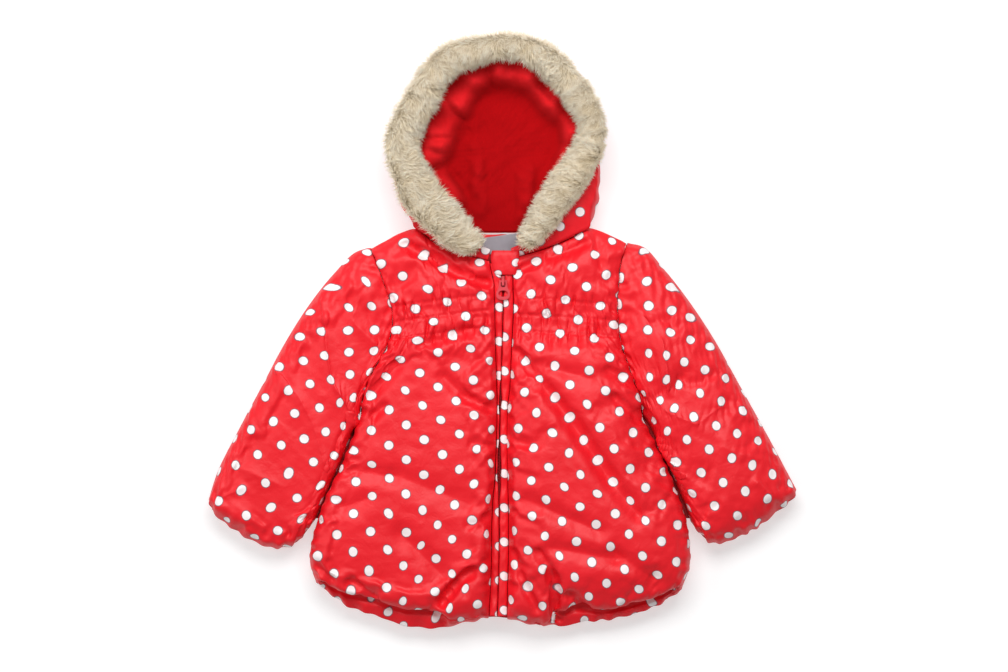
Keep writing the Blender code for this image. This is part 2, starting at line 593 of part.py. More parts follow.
def sleeve(name, outer, inner, armhole, cuff, seed, collection):
    """A padded sleeve: a flattened tube from the armhole to the cuff, open at both ends."""
    seam = np.array(list(reversed(armhole)), float)
    away = np.sign(seam[:, 0].mean())
    tangents = np.gradient(seam, axis=0)
    normals = np.stack([-tangents[:, 1], tangents[:, 0]], axis=1)
    normals *= (np.sign(normals[:, 0]) * away)[:, None]
    seam = seam + SLEEVE_GAP * normals / np.linalg.norm(normals, axis=1)[:, None]
    seam[0], seam[-1] = outer[0], inner[0]
    plan = patch(smooth_curve(seam), smooth_curve(cuff), smooth_curve(outer), smooth_curve(inner))
    top_u = 0.5 - 0.5 * np.cos(np.linspace(0, math.pi, 25))
    top_u = 0.45 * top_u + 0.55 * np.linspace(0, 1, 25)
    row_v = [0, 0.045, 0.085, 0.14, 0.2, 0.27, 0.34, 0.41, 0.48, 0.55, 0.62, 0.69, 0.76, 0.82, 0.87,
             0.91, 0.94, 0.965, 0.985, 1.0]
    points, rings = [], []

    def width_at(share):
        return float(np.linalg.norm(plan(1.0, share) - plan(0.0, share)))

    def length_at(u):
        return np.linalg.norm(plan(u, 1.0) - plan(u, 0.0), axis=-1)

    def upper(u, v):
        crown = from_table(SLEEVE_CROWN)(v)
        width = width_at(v)
        off_cuff = (1 - v) * length_at(u)
        drops = [
            (crown - SLEEVE_EDGE) * (1 - rounded(u * width, 0.3 * width)),
            (crown - SLEEVE_EDGE) * (1 - rounded((1 - u) * width, 0.3 * width)),
            (crown - 21) * (1 - rounded(off_cuff, 22)),
            (crown - ARMHOLE_EDGE) * (1 - rounded(v * length_at(u), 20)),
        ]
        height = crown - sum(drop**6 for drop in drops) ** (1 / 6)
        inside = eased(u / 0.1) * eased((1 - u) / 0.1) * eased(off_cuff / 8)
        height = height - inside * fold_depth(plan(u, v), SLEEVE_FOLDS)
        height = height + hem_waves(u, off_cuff, CUFF_GATHERS, seed)
        return np.maximum(height, SLEEVE_EDGE)

    for v in row_v:
        ring = [(*xy, z) for xy, z in zip(plan(top_u, v), upper(top_u, v))]
        width = width_at(v)
        lift = 3.0 * float(eased((v - 0.94) / 0.06))
        low_v = max(v, SET_BACK)
        for u, height in ((1 - 2.2 / width, 7.0), (1 - 9.0 / width, lift), (0.7, lift), (0.5, lift),
                          (0.3, lift), (9.0 / width, lift), (2.2 / width, 7.0)):
            ring.append((*plan(u, low_v if 0.1 < u < 0.9 else v), height))
        rings.append(list(range(len(points), len(points) + len(ring))))
        points += ring
    ring_at = [0.5 * u for u in top_u] + [0.53, 0.57, 0.65, 0.75, 0.85, 0.93, 0.97]

    inner_rings = []
    for v in (SET_BACK, 0.12, 0.28, 0.45, 0.62, 0.8, 0.92, 0.99):
        width = width_at(v)
        narrow = 11 + 10 * float(eased((v - 0.85) / 0.15))
        roof_u = np.linspace(narrow / width, 1 - narrow / width, 6)
        crown = float(from_table(SLEEVE_CROWN)(v))
        dome = np.sin(np.linspace(0, math.pi, 6))
        open_end = max(1 - v * 8, (v - 0.85) / 0.15, 0)
        low = SLEEVE_EDGE + 1 - 2.5 * float(eased((v - 0.85) / 0.14))
        roof = low + (max(crown - PAD - low, 0) * (1 - open_end)) * dome
        ring = [(*xy, z) for xy, z in zip(plan(roof_u, v), roof)]
        floor_u = np.linspace(1 - (narrow + 1) / width, (narrow + 1) / width, 4)
        ring += [(*xy, SLEEVE_FLOOR) for xy in plan(floor_u, v)]
        inner_rings.append(list(range(len(points), len(points) + len(ring))))
        points += ring
    inner_at = [0.03, 0.12, 0.21, 0.3, 0.39, 0.48, 0.58, 0.7, 0.82, 0.93]

    faces = []
    for first, second in zip(rings, rings[1:]):
        faces += loop_faces(first, second)
    for first, second in zip(inner_rings, inner_rings[1:]):
        faces += loop_faces(second, first)
    faces += stitch_loops(inner_rings[0], rings[0], inner_at + [1.03], ring_at + [1.0])
    faces += [tuple(reversed(face)) for face in
              stitch_loops(inner_rings[-1], rings[-1], inner_at + [1.03], ring_at + [1.0])]
    return add_object(name, closed_mesh(name, points, faces), collection, "shell")


# ---- hood ----


def hood_shell_places():
    """Places round the shell: (x, y) on its outline, and whether that is by the wall or the neck."""
    crown = smooth_curve(HOOD_OUTLINE)
    top, neck_from, neck_to = back_top()
    shares = (0.009, *np.linspace(0.028, 0.972, 45), 0.991)
    return ([(crown(share), WALL) for share in shares]
            + [(top(share) + [0, 2 * SEAM_GAP], NECK) for share in np.linspace(neck_from, neck_to, 14)])


def hood_lining_places():
    """Places round the lining, whose wall ends a little sooner than the shell's."""
    crown = smooth_curve(HOOD_OUTLINE)
    top, neck_from, neck_to = back_top()
    return ([(crown(share), END) for share in (0.009, 0.03)]
            + [(crown(share), WALL) for share in np.linspace(0.05, 0.95, 43)]
            + [(crown(share), END) for share in (0.97, 0.991)]
            + [(top(share) + [0, 2 * SEAM_GAP], NECK)
               for share in np.linspace(neck_from + 0.05, neck_to - 0.05, 12)])


def bowl(name, outside, inside, collection, material):
    """A closed bowl between two stacks of loops, each ended by a point over the hood's middle."""
    points = [(*HOOD_MIDDLE, outside[0]), (*HOOD_MIDDLE, inside[0])]
    loops = []
    for ring in outside[1] + inside[1]:
        loops.append(list(range(len(points), len(points) + len(ring))))
        points += ring
    faces = []
    count = len(loops[0])
    for first, second in zip(loops, loops[1:]):
        faces += loop_faces(first, second)
    faces += [(0, loops[0][(k + 1) % count], loops[0][k]) for k in range(count)]
    faces += [(1, loops[-1][k], loops[-1][(k + 1) % count]) for k in range(count)]
    return add_object(name, closed_mesh(name, points, faces), collection, material)


def set_in(places, steps, shrink=0.0):
    """A loop at one level: each outline point moved in and up by the (inset, height) of its kind of
    place, and then by a share of the way to the hood's middle."""
    ring = []
    for xy, kind in places:
        inset, height = steps[kind]
        way = np.array(HOOD_MIDDLE) - xy
        toward = way / np.linalg.norm(way)
        # Along the neck the inset runs straight in, so that the edge stays parallel to its seam
        point = xy + inset * (np.array([toward[0], 1.0]) if kind == NECK else toward)
        point = point + shrink * (np.array(HOOD_MIDDLE) - point)
        ring.append((*point, height))
    return ring


def hood_shell(collection):
    """The padded hood lying on its back: a flat base and a wall, open towards the neck."""
    places = hood_shell_places()
    outside = [set_in(places, {WALL: wall, NECK: neck}) for wall, neck in (
        ((14, 0), (9, 0)), ((5, 2.5), (3, 0)), ((0.8, 10), (0, 1)),
        ((0, 20), (0, 3)), ((2, 30), (0, 5)), ((6, HOOD_RIM), (0, 7)))]
    inside = [set_in(places, {WALL: wall, NECK: neck}) for wall, neck in (
        ((13, HOOD_RIM), (0.8, HOOD_FLOOR)), ((12, 24), (3, HOOD_FLOOR)),
        ((15, 13), (7, HOOD_FLOOR)), ((22, HOOD_FLOOR), (12, HOOD_FLOOR)))]
    return bowl("hood_shell", (0.0, outside), (HOOD_FLOOR, inside), collection, "shell")


def hood_lining(collection):
    """The fleece lining, with the bunches and ridges that show."""
    places = hood_lining_places()
    floor = HOOD_FLOOR + SEAM_GAP
    top = floor + LINING_WALL
    rim = HOOD_RIM - 0.5
    hidden = [set_in(places, {WALL: wall, NECK: (neck, floor), END: (end, floor)})
              for wall, neck, end in (
                  ((23, floor), 12.8, 25), ((15.9, 13.6), 7.8, 24.4), ((12.7, 24.2), 3.8, 23.8),
                  ((13.7, rim), 1.5, 23.2))]
    shown = [set_in(places, {WALL: wall, NECK: (neck, top), END: (end, top)}, shrink)
             for wall, neck, end, shrink in (
                 ((17, rim), 1.5, 23.2, 0), ((16.5, 27), 4, 23.8, 0), ((19, 18), 8, 24.6, 0),
                 ((26, top + 0.8), 13, 26, 0), ((26, top), 13, 26, 0.2), ((26, top), 13, 26, 0.4),
                 ((26, top), 13, 26, 0.6), ((26, top), 13, 26, 0.8))]
    raised = [shown[0]]
    for level, ring in enumerate(shown[1:], 1):
        share = min(0.35 * level, 1.0)
        rise = share * fold_depth(np.array([point[:2] for point in ring]), LINING_FOLDS)
        raised.append([(x, y, min(z + up, HOOD_RIM - 2)) for (x, y, z), up in zip(ring, rise)])
    middle = top + float(fold_depth(np.array(HOOD_MIDDLE), LINING_FOLDS))
    return bowl("hood_lining", (floor, hidden), (middle, raised), collection, "fleece")


def hood_edge(name, neckline, from_share, widths, collection):
    """The hood's lower front edge, which stands on the front neckline and carries the fur."""
    curve = smooth_curve(neckline)
    shares = np.linspace(from_share, 0.985, 10)
    seam = curve(shares)
    along = curve(np.clip(shares + 0.01, 0, 1)) - curve(shares - 0.01)
    normal = np.stack([-along[:, 1], along[:, 0]], axis=1)
    normal /= np.linalg.norm(normal, axis=1)[:, None]
    normal *= np.sign(normal[:, 1])[:, None]
    wide = np.interp(shares, [row[0] for row in widths], [row[1] for row in widths])
    high = np.interp(shares, [row[0] for row in widths], [row[2] for row in widths])
    points = []
    for base, way, reach, top in zip(seam, normal, wide, high):
        for share, height in ((0.0, FRONT_UNDER + 1.2), (0.0, top - 1.6), (0.45, top), (0.8, top + 0.3),
                              (1.0, top - 0.8), (1.0, FRONT_UNDER + 2)):
            points.append((*(base + way * (0.7 + share * reach)), height))
    count = len(points) // len(shares)
    rings = [list(range(k * count, (k + 1) * count)) for k in range(len(shares))]
    faces = [tuple(rings[0]), tuple(reversed(rings[-1]))]
    for first, second in zip(rings, rings[1:]):
        faces += loop_faces(first, second)
    return add_object(name, closed_mesh(name, points, faces), collection, "shell")


def fur_trim(collection):
    """The fur's whole body: an uneven roll along the edge of the face opening."""
    table = np.array(FUR, float)
    line = smooth_curve(table)
    stations, around = 64, 12
    shares = 0.5 - 0.5 * np.cos(np.linspace(0, math.pi, stations))
    shares = 0.12 * shares + 0.88 * np.linspace(0, 1, stations)
    rows = line(shares)
    along = line(np.clip(shares + 0.004, 0, 1))[:, :2] - line(np.clip(shares - 0.004, 0, 1))[:, :2]
    along /= np.linalg.norm(along, axis=1)[:, None]
    points = []
    ends = rounded(np.minimum(shares, 1 - shares) + 0.0012, 0.018)
    for k, (x, y, z, wide, high) in enumerate(rows):
        side = np.array([-along[k][1], along[k][0]])
        for j in range(around):
            angle = 2 * math.pi * j / around
            lump = 1 + 0.035 * math.sin(3 * angle + 0.9 * k) + 0.025 * math.sin(1.7 * k + 2 * angle)
            flat = 0.86 if math.sin(angle) < 0 else 1.0
            off = side * wide * math.cos(angle) * min(lump, 1.0) * ends[k]
            up = high * flat * math.sin(angle) * min(lump, 1.02) * ends[k]
            points.append((x + off[0], y + off[1], z + up))
    rings = [list(range(k * around, (k + 1) * around)) for k in range(stations)]
    faces = [tuple(rings[0]), tuple(reversed(rings[-1]))]
    for first, second in zip(rings, rings[1:]):
        faces += loop_faces(first, second)
    return add_object("fur_trim", closed_mesh("fur_trim", points, faces), collection, "fur")


# ---- zip ----


def zip_x(y):
    """Where the zip's middle line is at a height up the jacket."""
    rows = np.array(ZIP_LINE, float)
    heights = rows[:, 1] - rows[0, 1]
    return float(smooth_curve(rows[:, [0]], heights)((y - rows[0, 1]) / heights[-1])[0])


def placket_x(table, y):
    rows = sorted((height, x) for x, height in table)
    return float(np.interp(y, [row[0] for row in rows], [row[1] for row in rows]))


def strip(name, sections, material, collection):
    """A strip lofted through cross-sections, each a list of points."""
    points = [point for section in sections for point in section]
    count = len(sections[0])
    rings = [list(range(k * count, (k + 1) * count)) for k in range(len(sections))]
    faces = [tuple(rings[0]), tuple(reversed(rings[-1]))]
    for first, second in zip(rings, rings[1:]):
        faces += loop_faces(first, second)
    return add_object(name, closed_mesh(name, points, faces), collection, material)


def placket(name, edge_table, side, collection):
    """A folded strip of shell cloth beside the zip, which parts round the slider."""
    sections = []
    top = 61.0
    for y in np.concatenate([np.linspace(ZIP_BOTTOM, 22, 22), np.linspace(28, top, 9)]):
        parted = 4.7 * math.exp(-(((y - SLIDER_Y) / 9) ** 4))
        middle = zip_x(y) + side * (0.45 + parted + 0.25 * math.sin(0.09 * y + side))
        edge = placket_x(edge_table, y) - side * 0.5
        swell = 0.5 * math.sin(0.055 * y + 1.3 * side)
        high = PLACKET_TOP + swell
        lean = edge - middle
        sections.append([(middle, y, PLACKET_LOW), (middle + 0.12 * lean, y, high - 0.6),
                         (middle + 0.42 * lean, y, high), (middle + 0.8 * lean, y, high - 0.7),
                         (edge, y, high - 2.0), (edge, y, PLACKET_LOW)])
    return strip(name, sections, "shell", collection)


def zip_tape(name, edge_table, side, collection):
    sections = []
    for y in np.linspace(ZIP_BOTTOM, 60, 16):
        inner = zip_x(y) + side * (TEETH_WIDTH / 2 + 0.4)
        edge = placket_x(edge_table, y) - side * 0.5
        sections.append([(inner, y, TAPE_LOW), (inner, y, TAPE_LOW + TAPE_THICK),
                         (edge, y, TAPE_LOW + TAPE_THICK), (edge, y, TAPE_LOW)])
    return strip(name, sections, "zip tape", collection)


def zip_teeth(collection):
    """The closed row of teeth up to the slider; its single teeth are finer than this model."""
    sections = []
    half = TEETH_WIDTH / 2
    for y in np.linspace(ZIP_BOTTOM, SLIDER_Y - 1, 18):
        x = zip_x(y)
        sections.append([(x - half, y, TEETH_LOW), (x - half, y, TEETH_HIGH - 0.7),
                         (x - 0.5 * half, y, TEETH_HIGH), (x + 0.5 * half, y, TEETH_HIGH),
                         (x + half, y, TEETH_HIGH - 0.7), (x + half, y, TEETH_LOW)])
    return strip("zip_teeth", sections, "zip plastic", collection)


def rounded_box(name, size, place, bevel, collection, material):
    """A box in millimetres with rounded edges, at its place."""
    shape = bmesh.new()
    bmesh.ops.create_cube(shape, size=1.0)
    bmesh.ops.scale(shape, vec=[MM * side for side in size], verts=shape.verts)
    mesh = bpy.data.meshes.new(name)
    shape.to_mesh(mesh)
    shape.free()
    part = add_object(name, mesh, collection, material)
    part.location = [MM * value for value in place]
    soft = part.modifiers.new("Rounded edges", "BEVEL")
    soft.width = MM * bevel
    soft.segments = 2
    return part


def join_with(part, helpers):
    """Adds the helpers' shapes to a part with Boolean unions."""
    for helper in helpers:
        helper.hide_render = True
        helper.display_type = "WIRE"
        union = part.modifiers.new(f"Join {helper.name}", "BOOLEAN")
        union.operation = "UNION"
        union.object = helper
    return part


def zip_slider(collection, helpers):
    """The slider: a plate over the teeth, a wedge between the tapes and a bridge for the tab."""
    x = zip_x(SLIDER_Y)
    plate_low = TEETH_HIGH + 0.4
    plate_top = plate_low + SLIDER_PLATE
    plate = rounded_box("zip_slider", (SLIDER_WIDTH, SLIDER_LENGTH, SLIDER_PLATE),
                        (x, SLIDER_Y, plate_low + SLIDER_PLATE / 2), 0.6, collection, "enamelled metal")
    wedge = rounded_box("slider wedge", (3.6, 3.0, 4.6), (x, SLIDER_Y + 3.4, plate_low - 0.9), 0.4,
                        helpers, "enamelled metal")
    foot_low, foot_high = plate_top - 1.0, HINGE_Z + 2.3
    feet = [rounded_box(f"slider bridge {end}", (2.4, 1.6, foot_high - foot_low),
                        (x, SLIDER_Y + offset, (foot_high + foot_low) / 2), 0.3, helpers, "enamelled metal")
            for end, offset in (("foot", -3.4), ("head", 3.4))]
    top = rounded_box("slider bridge top", (2.2, 8.2, 1.4), (x, SLIDER_Y, HINGE_Z + 2.1), 0.4,
                      helpers, "enamelled metal")
    return join_with(plate, [wedge, *feet, top])


def tab_outline(x):
    """The pull tab's outline: narrow at the hinge, widening to a rounded end."""
    half = TAB_WIDTH / 2
    right = [(3.6, 0.8), (3.7, -3.5), (4.1, -6.0), (5.2, -8.6), (half, -11.4), (5.7, -14.3),
             (3.9, -16.4), (0.0, -TAB_LENGTH)]
    curve = smooth_curve(right)
    side = [tuple(curve(share)) for share in np.linspace(0, 1, 15)]
    return [(x + a, b) for a, b in side] + [(x - a, b) for a, b in reversed(side[:-1])]


def flat_shape(name, outlines, thickness, collection, material):
    """A flat curve with the outlines, the later ones holes in the first, made a mesh."""
    data = bpy.data.curves.new(name, "CURVE")
    data.dimensions = "2D"
    data.fill_mode = "BOTH"
    data.extrude = MM * thickness / 2
    for outline in outlines:
        line = data.splines.new("POLY")
        line.points.add(len(outline) - 1)
        line.use_cyclic_u = True
        for point, (x, y) in zip(line.points, outline):
            point.co = (MM * x, MM * y, 0, 1)
    guide = bpy.data.objects.new(name + " guide", data)
    collection.objects.link(guide)
    bpy.context.view_layer.update()
    mesh = bpy.data.meshes.new_from_object(guide.evaluated_get(bpy.context.evaluated_depsgraph_get()))
    bpy.data.objects.remove(guide)
    shape = bmesh.new()
    shape.from_mesh(mesh)
    bmesh.ops.remove_doubles(shape, verts=shape.verts, dist=MM * 0.01)
    bmesh.ops.recalc_face_normals(shape, faces=shape.faces)
    shape.to_mesh(mesh)
    shape.free()
    return add_object(name, mesh, collection, material)


def ellipse(x, y, wide, high, count):
    return [(x + wide * math.cos(2 * math.pi * k / count), y + high * math.sin(2 * math.pi * k / count))
            for k in range(count)]


def pull_tab(collection):
    """The tab, hinged across the slider's bridge; its origin is on the hinge axis."""
    window = [(-2.1, -0.8), (2.1, -0.8), (2.1, -4.4), (1.2, -5.4), (-1.2, -5.4), (-2.1, -4.4)]
    outline = tab_outline(0.0)
    tab = flat_shape("pull_tab", [outline, window, ellipse(0.0, -11.3, 4.3, 2.9, 20)], TAB_THICK, collection,
                     "enamelled metal")
    tab.location = (MM * zip_x(SLIDER_Y), MM * SLIDER_Y, MM * HINGE_Z)
    return tab


def chin_guard(collection):
    """The plain folded piece over the zip's top end."""
    sections = []
    for y, left, right, low, high in ((58.5, -9.0, 10.0, 32.0, 33.3), (61.0, -10.4, 12.0, 32.3, 34.3),
                                      (65.0, -10.8, 14.2, 32.6, 34.7), (69.0, -10.0, 15.0, 32.6, 34.6),
                                      (72.0, -8.6, 13.6, 32.4, 33.7)):
        span = right - left
        sections.append([(left, y, low), (left + 0.02 * span, y, high - 0.6), (left + 0.2 * span, y, high),
                         (left + 0.55 * span, y, high + 0.3), (left + 0.85 * span, y, high),
                         (right - 0.02 * span, y, high - 0.6), (right, y, low)])
    return strip("chin_guard", sections, "shell", collection)


def neck_label(collection):
    """The label, tilted as it lies on the inside of the back's neck."""
    wide, deep, turn = 35.0, 15.5, math.radians(8.0)
    centre = (-3.6, 78.2)
    sections = []
    for across in np.linspace(-0.5, 0.5, 7):
        bow = 0.5 * math.cos(math.pi * across)
        section = []
        for up, height in ((-0.5, BACK_FLOOR + 0.4), (-0.5, BACK_FLOOR + 1.1), (0.5, BACK_FLOOR + 1.1),
                           (0.5, BACK_FLOOR + 0.4)):
            a, b = across * wide, up * deep
            section.append((centre[0] + a * math.cos(turn) - b * math.sin(turn),
                            centre[1] + a * math.sin(turn) + b * math.cos(turn), height + bow))
        sections.append(section)
    return strip("neck_label", sections, "label", collection)


def main():
    for old in list(bpy.data.objects):
        bpy.data.objects.remove(old, do_unlink=True)
    jacket = bpy.data.collections.new("padded jacket")
    helpers = bpy.data.collections.new("helpers")
    bpy.context.scene.collection.children.link(jacket)
    bpy.context.scene.collection.children.link(helpers)

    left_plan = front_patch(LEFT_HEM, LEFT_SIDE, LEFT_ARMHOLE, LEFT_SHOULDER, LEFT_NECKLINE,
                            LEFT_PLACKET)
    right_plan = front_patch(RIGHT_HEM, RIGHT_SIDE, RIGHT_ARMHOLE, RIGHT_SHOULDER, RIGHT_NECKLINE,
                             RIGHT_PLACKET)
    front("front_left", left_plan, LEFT_HEM_STRIP, underarm(LEFT_SIDE, LEFT_ARMHOLE), 0.66, 0.4, jacket)
    front("front_right", right_plan, RIGHT_HEM_STRIP, underarm(RIGHT_SIDE, RIGHT_ARMHOLE), 0.68, 1.7, jacket)
    back(jacket)
    sleeve("sleeve_left", LEFT_SLEEVE_OUTER, LEFT_SLEEVE_INNER, LEFT_ARMHOLE, LEFT_CUFF, 0.6, jacket)
    sleeve("sleeve_right", RIGHT_SLEEVE_OUTER, RIGHT_SLEEVE_INNER, RIGHT_ARMHOLE, RIGHT_CUFF, 2.1, jacket)
    hood_shell(jacket)
    hood_lining(jacket)
    hood_edge("hood_edge_left", LEFT_NECKLINE, 0.2, LEFT_EDGE_WIDTHS, jacket)
    hood_edge("hood_edge_right", RIGHT_NECKLINE, 0.2, RIGHT_EDGE_WIDTHS, jacket)
    fur_trim(jacket)
    placket("placket_left", LEFT_PLACKET, -1, jacket)
    placket("placket_right", RIGHT_PLACKET, 1, jacket)
    zip_tape("zip_tape_left", LEFT_PLACKET, -1, jacket)
    zip_tape("zip_tape_right", RIGHT_PLACKET, 1, jacket)
    zip_teeth(jacket)
    zip_slider(jacket, helpers)
    pull_tab(jacket)
    chin_guard(jacket)
    neck_label(jacket)
    helpers.hide_render = True


main()
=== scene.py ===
"""The looks of a child's padded jacket with a fur-trimmed hood, lying on its back, for Blender 4.5.

Run as a script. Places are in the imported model's own frame; tables here are in millimetres, with
"left" and "right" as seen from above.
"""

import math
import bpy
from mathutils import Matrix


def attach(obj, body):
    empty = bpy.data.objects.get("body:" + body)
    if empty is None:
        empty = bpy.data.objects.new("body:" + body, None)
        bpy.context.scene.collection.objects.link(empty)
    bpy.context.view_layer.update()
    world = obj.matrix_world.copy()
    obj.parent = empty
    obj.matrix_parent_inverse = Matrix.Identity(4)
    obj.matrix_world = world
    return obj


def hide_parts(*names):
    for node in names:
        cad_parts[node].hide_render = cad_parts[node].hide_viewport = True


bl_info = {
    "name": "Padded polka dot jacket",
    "version": (1, 0, 0),
    "blender": (4, 5, 0),
    "location": "3D View > Sidebar > Jacket",
    "description": "Builds a padded jacket with a fur-trimmed hood round its packed solids",
    "category": "Object",
}

import bmesh
import bpy
import numpy as np
from bpy.props import FloatProperty, IntProperty, PointerProperty, StringProperty
from mathutils import Vector

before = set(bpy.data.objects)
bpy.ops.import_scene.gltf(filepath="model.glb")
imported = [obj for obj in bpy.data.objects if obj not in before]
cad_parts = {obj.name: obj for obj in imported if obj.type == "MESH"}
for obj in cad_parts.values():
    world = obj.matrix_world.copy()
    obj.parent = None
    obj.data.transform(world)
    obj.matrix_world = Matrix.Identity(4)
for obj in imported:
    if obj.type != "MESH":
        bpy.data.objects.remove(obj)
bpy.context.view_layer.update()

MM = 0.001
BODY = "jacket"

# ---- sizes, as in the solids ----

PAD = 11.5
BACK_FLOOR = 11.0
SIDE_SEAM = 23.0
FRONT_UNDER = 23.3
HEM_BACK = 8.5
HEM_UNDER = 15.5
HEM_EDGE = 21.0
SIDE_EDGE = 25.0
ARMHOLE_EDGE = 30.5
NECK_EDGE = 30.0
PLACKET_EDGE = 31.0
SLEEVE_EDGE = 18.0
SLEEVE_FLOOR = 9.5
SLEEVE_GAP = 0.6
HOOD_RIM = 36.0
HOOD_FLOOR = 8.5
HOOD_MIDDLE = (-4.0, 165.0)

LEFT_SIDE = [(-168, -227), (-173.3, -211), (-172.4, -193), (-168, -175), (-160, -152), (-148, -127),
             (-135.5, -98), (-127.4, -73)]
LEFT_ARMHOLE = [(-127.4, -73), (-124.7, -58), (-119.3, -42), (-110.3, -26), (-103.1, -13), (-99.5, 1),
                (-98.6, 14.4), (-101.3, 28), (-106.7, 44), (-112.1, 59), (-118.4, 74.7)]
LEFT_SHOULDER = [(-118.4, 74.7), (-105.8, 81), (-92.3, 88.2), (-77.9, 91.8)]
LEFT_NECKLINE = [(-77.9, 91.8), (-65.3, 82), (-42.8, 71.1), (-12.2, 63)]
LEFT_PLACKET = [(-12.2, 63), (-11.3, -8), (-11.3, -62), (-13.1, -152), (-12.2, -206), (-13.1, -259)]
LEFT_HEM = [(-13.1, -259), (-29.3, -262), (-47.3, -266.4), (-65.3, -268.2), (-92.3, -264.6),
            (-114.8, -256.5), (-137.3, -249.3), (-152.6, -239.4), (-168, -227)]
RIGHT_SIDE = [(161.6, -233), (168.8, -211), (168.8, -193), (165.2, -170), (158, -147.6), (149, -125),
              (137.3, -101), (125.6, -75.6)]
RIGHT_ARMHOLE = [(125.6, -75.6), (123.8, -60.3), (117.5, -44.1), (112.1, -27.9), (106.7, -12.6),
                 (104, 5.4), (103.1, 23.4), (104, 41.4), (105.8, 59.4), (111.2, 79.2)]
RIGHT_SHOULDER = [(111.2, 79.2), (98.6, 85.5), (86, 90.9), (78.8, 92.7)]
RIGHT_NECKLINE = [(78.8, 92.7), (62.6, 83.7), (41, 74.7), (17.6, 67.5), (9.5, 64.8)]
RIGHT_PLACKET = [(9.5, 64.8), (10.4, 28), (8.6, -17), (6.8, -62), (6.8, -152), (7.7, -206), (7.7, -260)]
RIGHT_HEM = [(7.7, -260), (24.8, -263.7), (36.5, -266.4), (42.8, -263.7), (49.1, -266.4),
             (69.8, -262.8), (96.8, -260.1), (123.8, -253.8), (146.3, -243.9), (161.6, -233)]
BACK_NECKLINE = [(-77.9, 91.8), (-40, 88.4), (0, 87.8), (40, 88.6), (78.8, 92.7)]
ZIP_LINE = [(-4.5, -260), (-3.2, -206), (-3.2, -152), (-1.8, -62), (-0.5, -17), (0.5, 28), (0.5, 66)]

LEFT_SLEEVE_OUTER = [(-119, 75), (-131.9, 71.1), (-150.8, 53.1), (-173.3, 25.2), (-195.8, -9.9),
                     (-216.5, -48.6), (-238.1, -89.1), (-258.8, -131.4), (-265.2, -152.1)]
LEFT_SLEEVE_INNER = [(-128.4, -73.4), (-135.2, -91), (-143, -111.6), (-151.4, -130.5),
                     (-158.2, -145), (-163.4, -157.5), (-168.4, -169.2)]
LEFT_CUFF = [(-265.2, -152.1), (-261, -163.8), (-249.8, -173.7), (-233.6, -184.5), (-216.5, -193.5),
             (-195.8, -195.3), (-185, -190), (-176, -179.1), (-168.4, -169.2)]
RIGHT_SLEEVE_OUTER = [(111.9, 79.6), (123.8, 77.4), (146.3, 54.9), (168.8, 26.1), (191.3, -8.1),
                      (213.8, -48.6), (236.3, -89.1), (254.3, -122.4), (265.2, -143.1)]
RIGHT_SLEEVE_INNER = [(126.4, -76), (134.6, -89.1), (141.4, -104.4), (150.4, -123.3), (158.6, -143.1),
                      (165, -158), (169.8, -171.9)]
RIGHT_CUFF = [(265.2, -143.1), (261.5, -152.1), (249.8, -161.1), (236.3, -172.8), (213.8, -185.4),
              (194, -191.7), (187.7, -190.8), (177.8, -181.8), (169.8, -171.9)]
HOOD_OUTLINE = [(78.4, 93.4), (82.6, 103), (87.8, 120), (88.6, 149.4), (89.2, 171.9), (86.5, 192.6),
                (77, 212.4), (62.6, 232), (44.6, 247.6), (24.8, 258), (-5, 262), (-36.5, 256),
                (-61.7, 241), (-77, 223), (-88.7, 199), (-96.8, 176.4), (-101.5, 155), (-95.9, 127),
                (-88.7, 107.5), (-77.4, 92.4)]

FUR = [
    # x,     y,     z,  wide, high
    (-23, 75, 45, 9.5, 10),
    (-37.4, 84.2, 46.5, 15, 11.5),
    (-54.9, 103.1, 49.5, 18.5, 13),
    (-72, 120.2, 50.5, 19.4, 13.5),
    (-83.7, 144.5, 50.5, 17, 13.5),
    (-90.4, 166.5, 50.5, 17, 13.5),
    (-86, 184.5, 51, 15.6, 13.5),
    (-73.4, 207, 51.5, 15.8, 14),
    (-62.6, 228.6, 51.5, 15, 14),
    (-42.8, 246, 51.5, 15.2, 14),
    (-19.4, 252.4, 51.5, 13.8, 14),
    (7.7, 255.8, 51, 12.8, 13.5),
    (32.4, 248, 51.5, 14.3, 14),
    (54.5, 229.5, 51.5, 14.7, 14),
    (70.7, 207.5, 51, 14.4, 13.5),
    (80.6, 185.9, 50.5, 13.4, 13.5),
    (75.6, 161.1, 50.5, 15.4, 13.5),
    (61.2, 138.2, 50, 17, 13),
    (47.3, 117.9, 49, 15.8, 12.5),
    (33, 95.5, 47, 13.2, 11.5),
    (21, 78.5, 45, 9.5, 10),
]

FRONT_CROWN = [(0, 41), (0.12, 46), (0.35, 47.5), (0.6, 45), (0.74, 42), (0.8, 38), (0.9, 38), (1, 35)]
SLEEVE_CROWN = [(0, 33), (0.12, 38), (0.4, 40), (0.75, 40), (0.92, 38), (1, 34)]

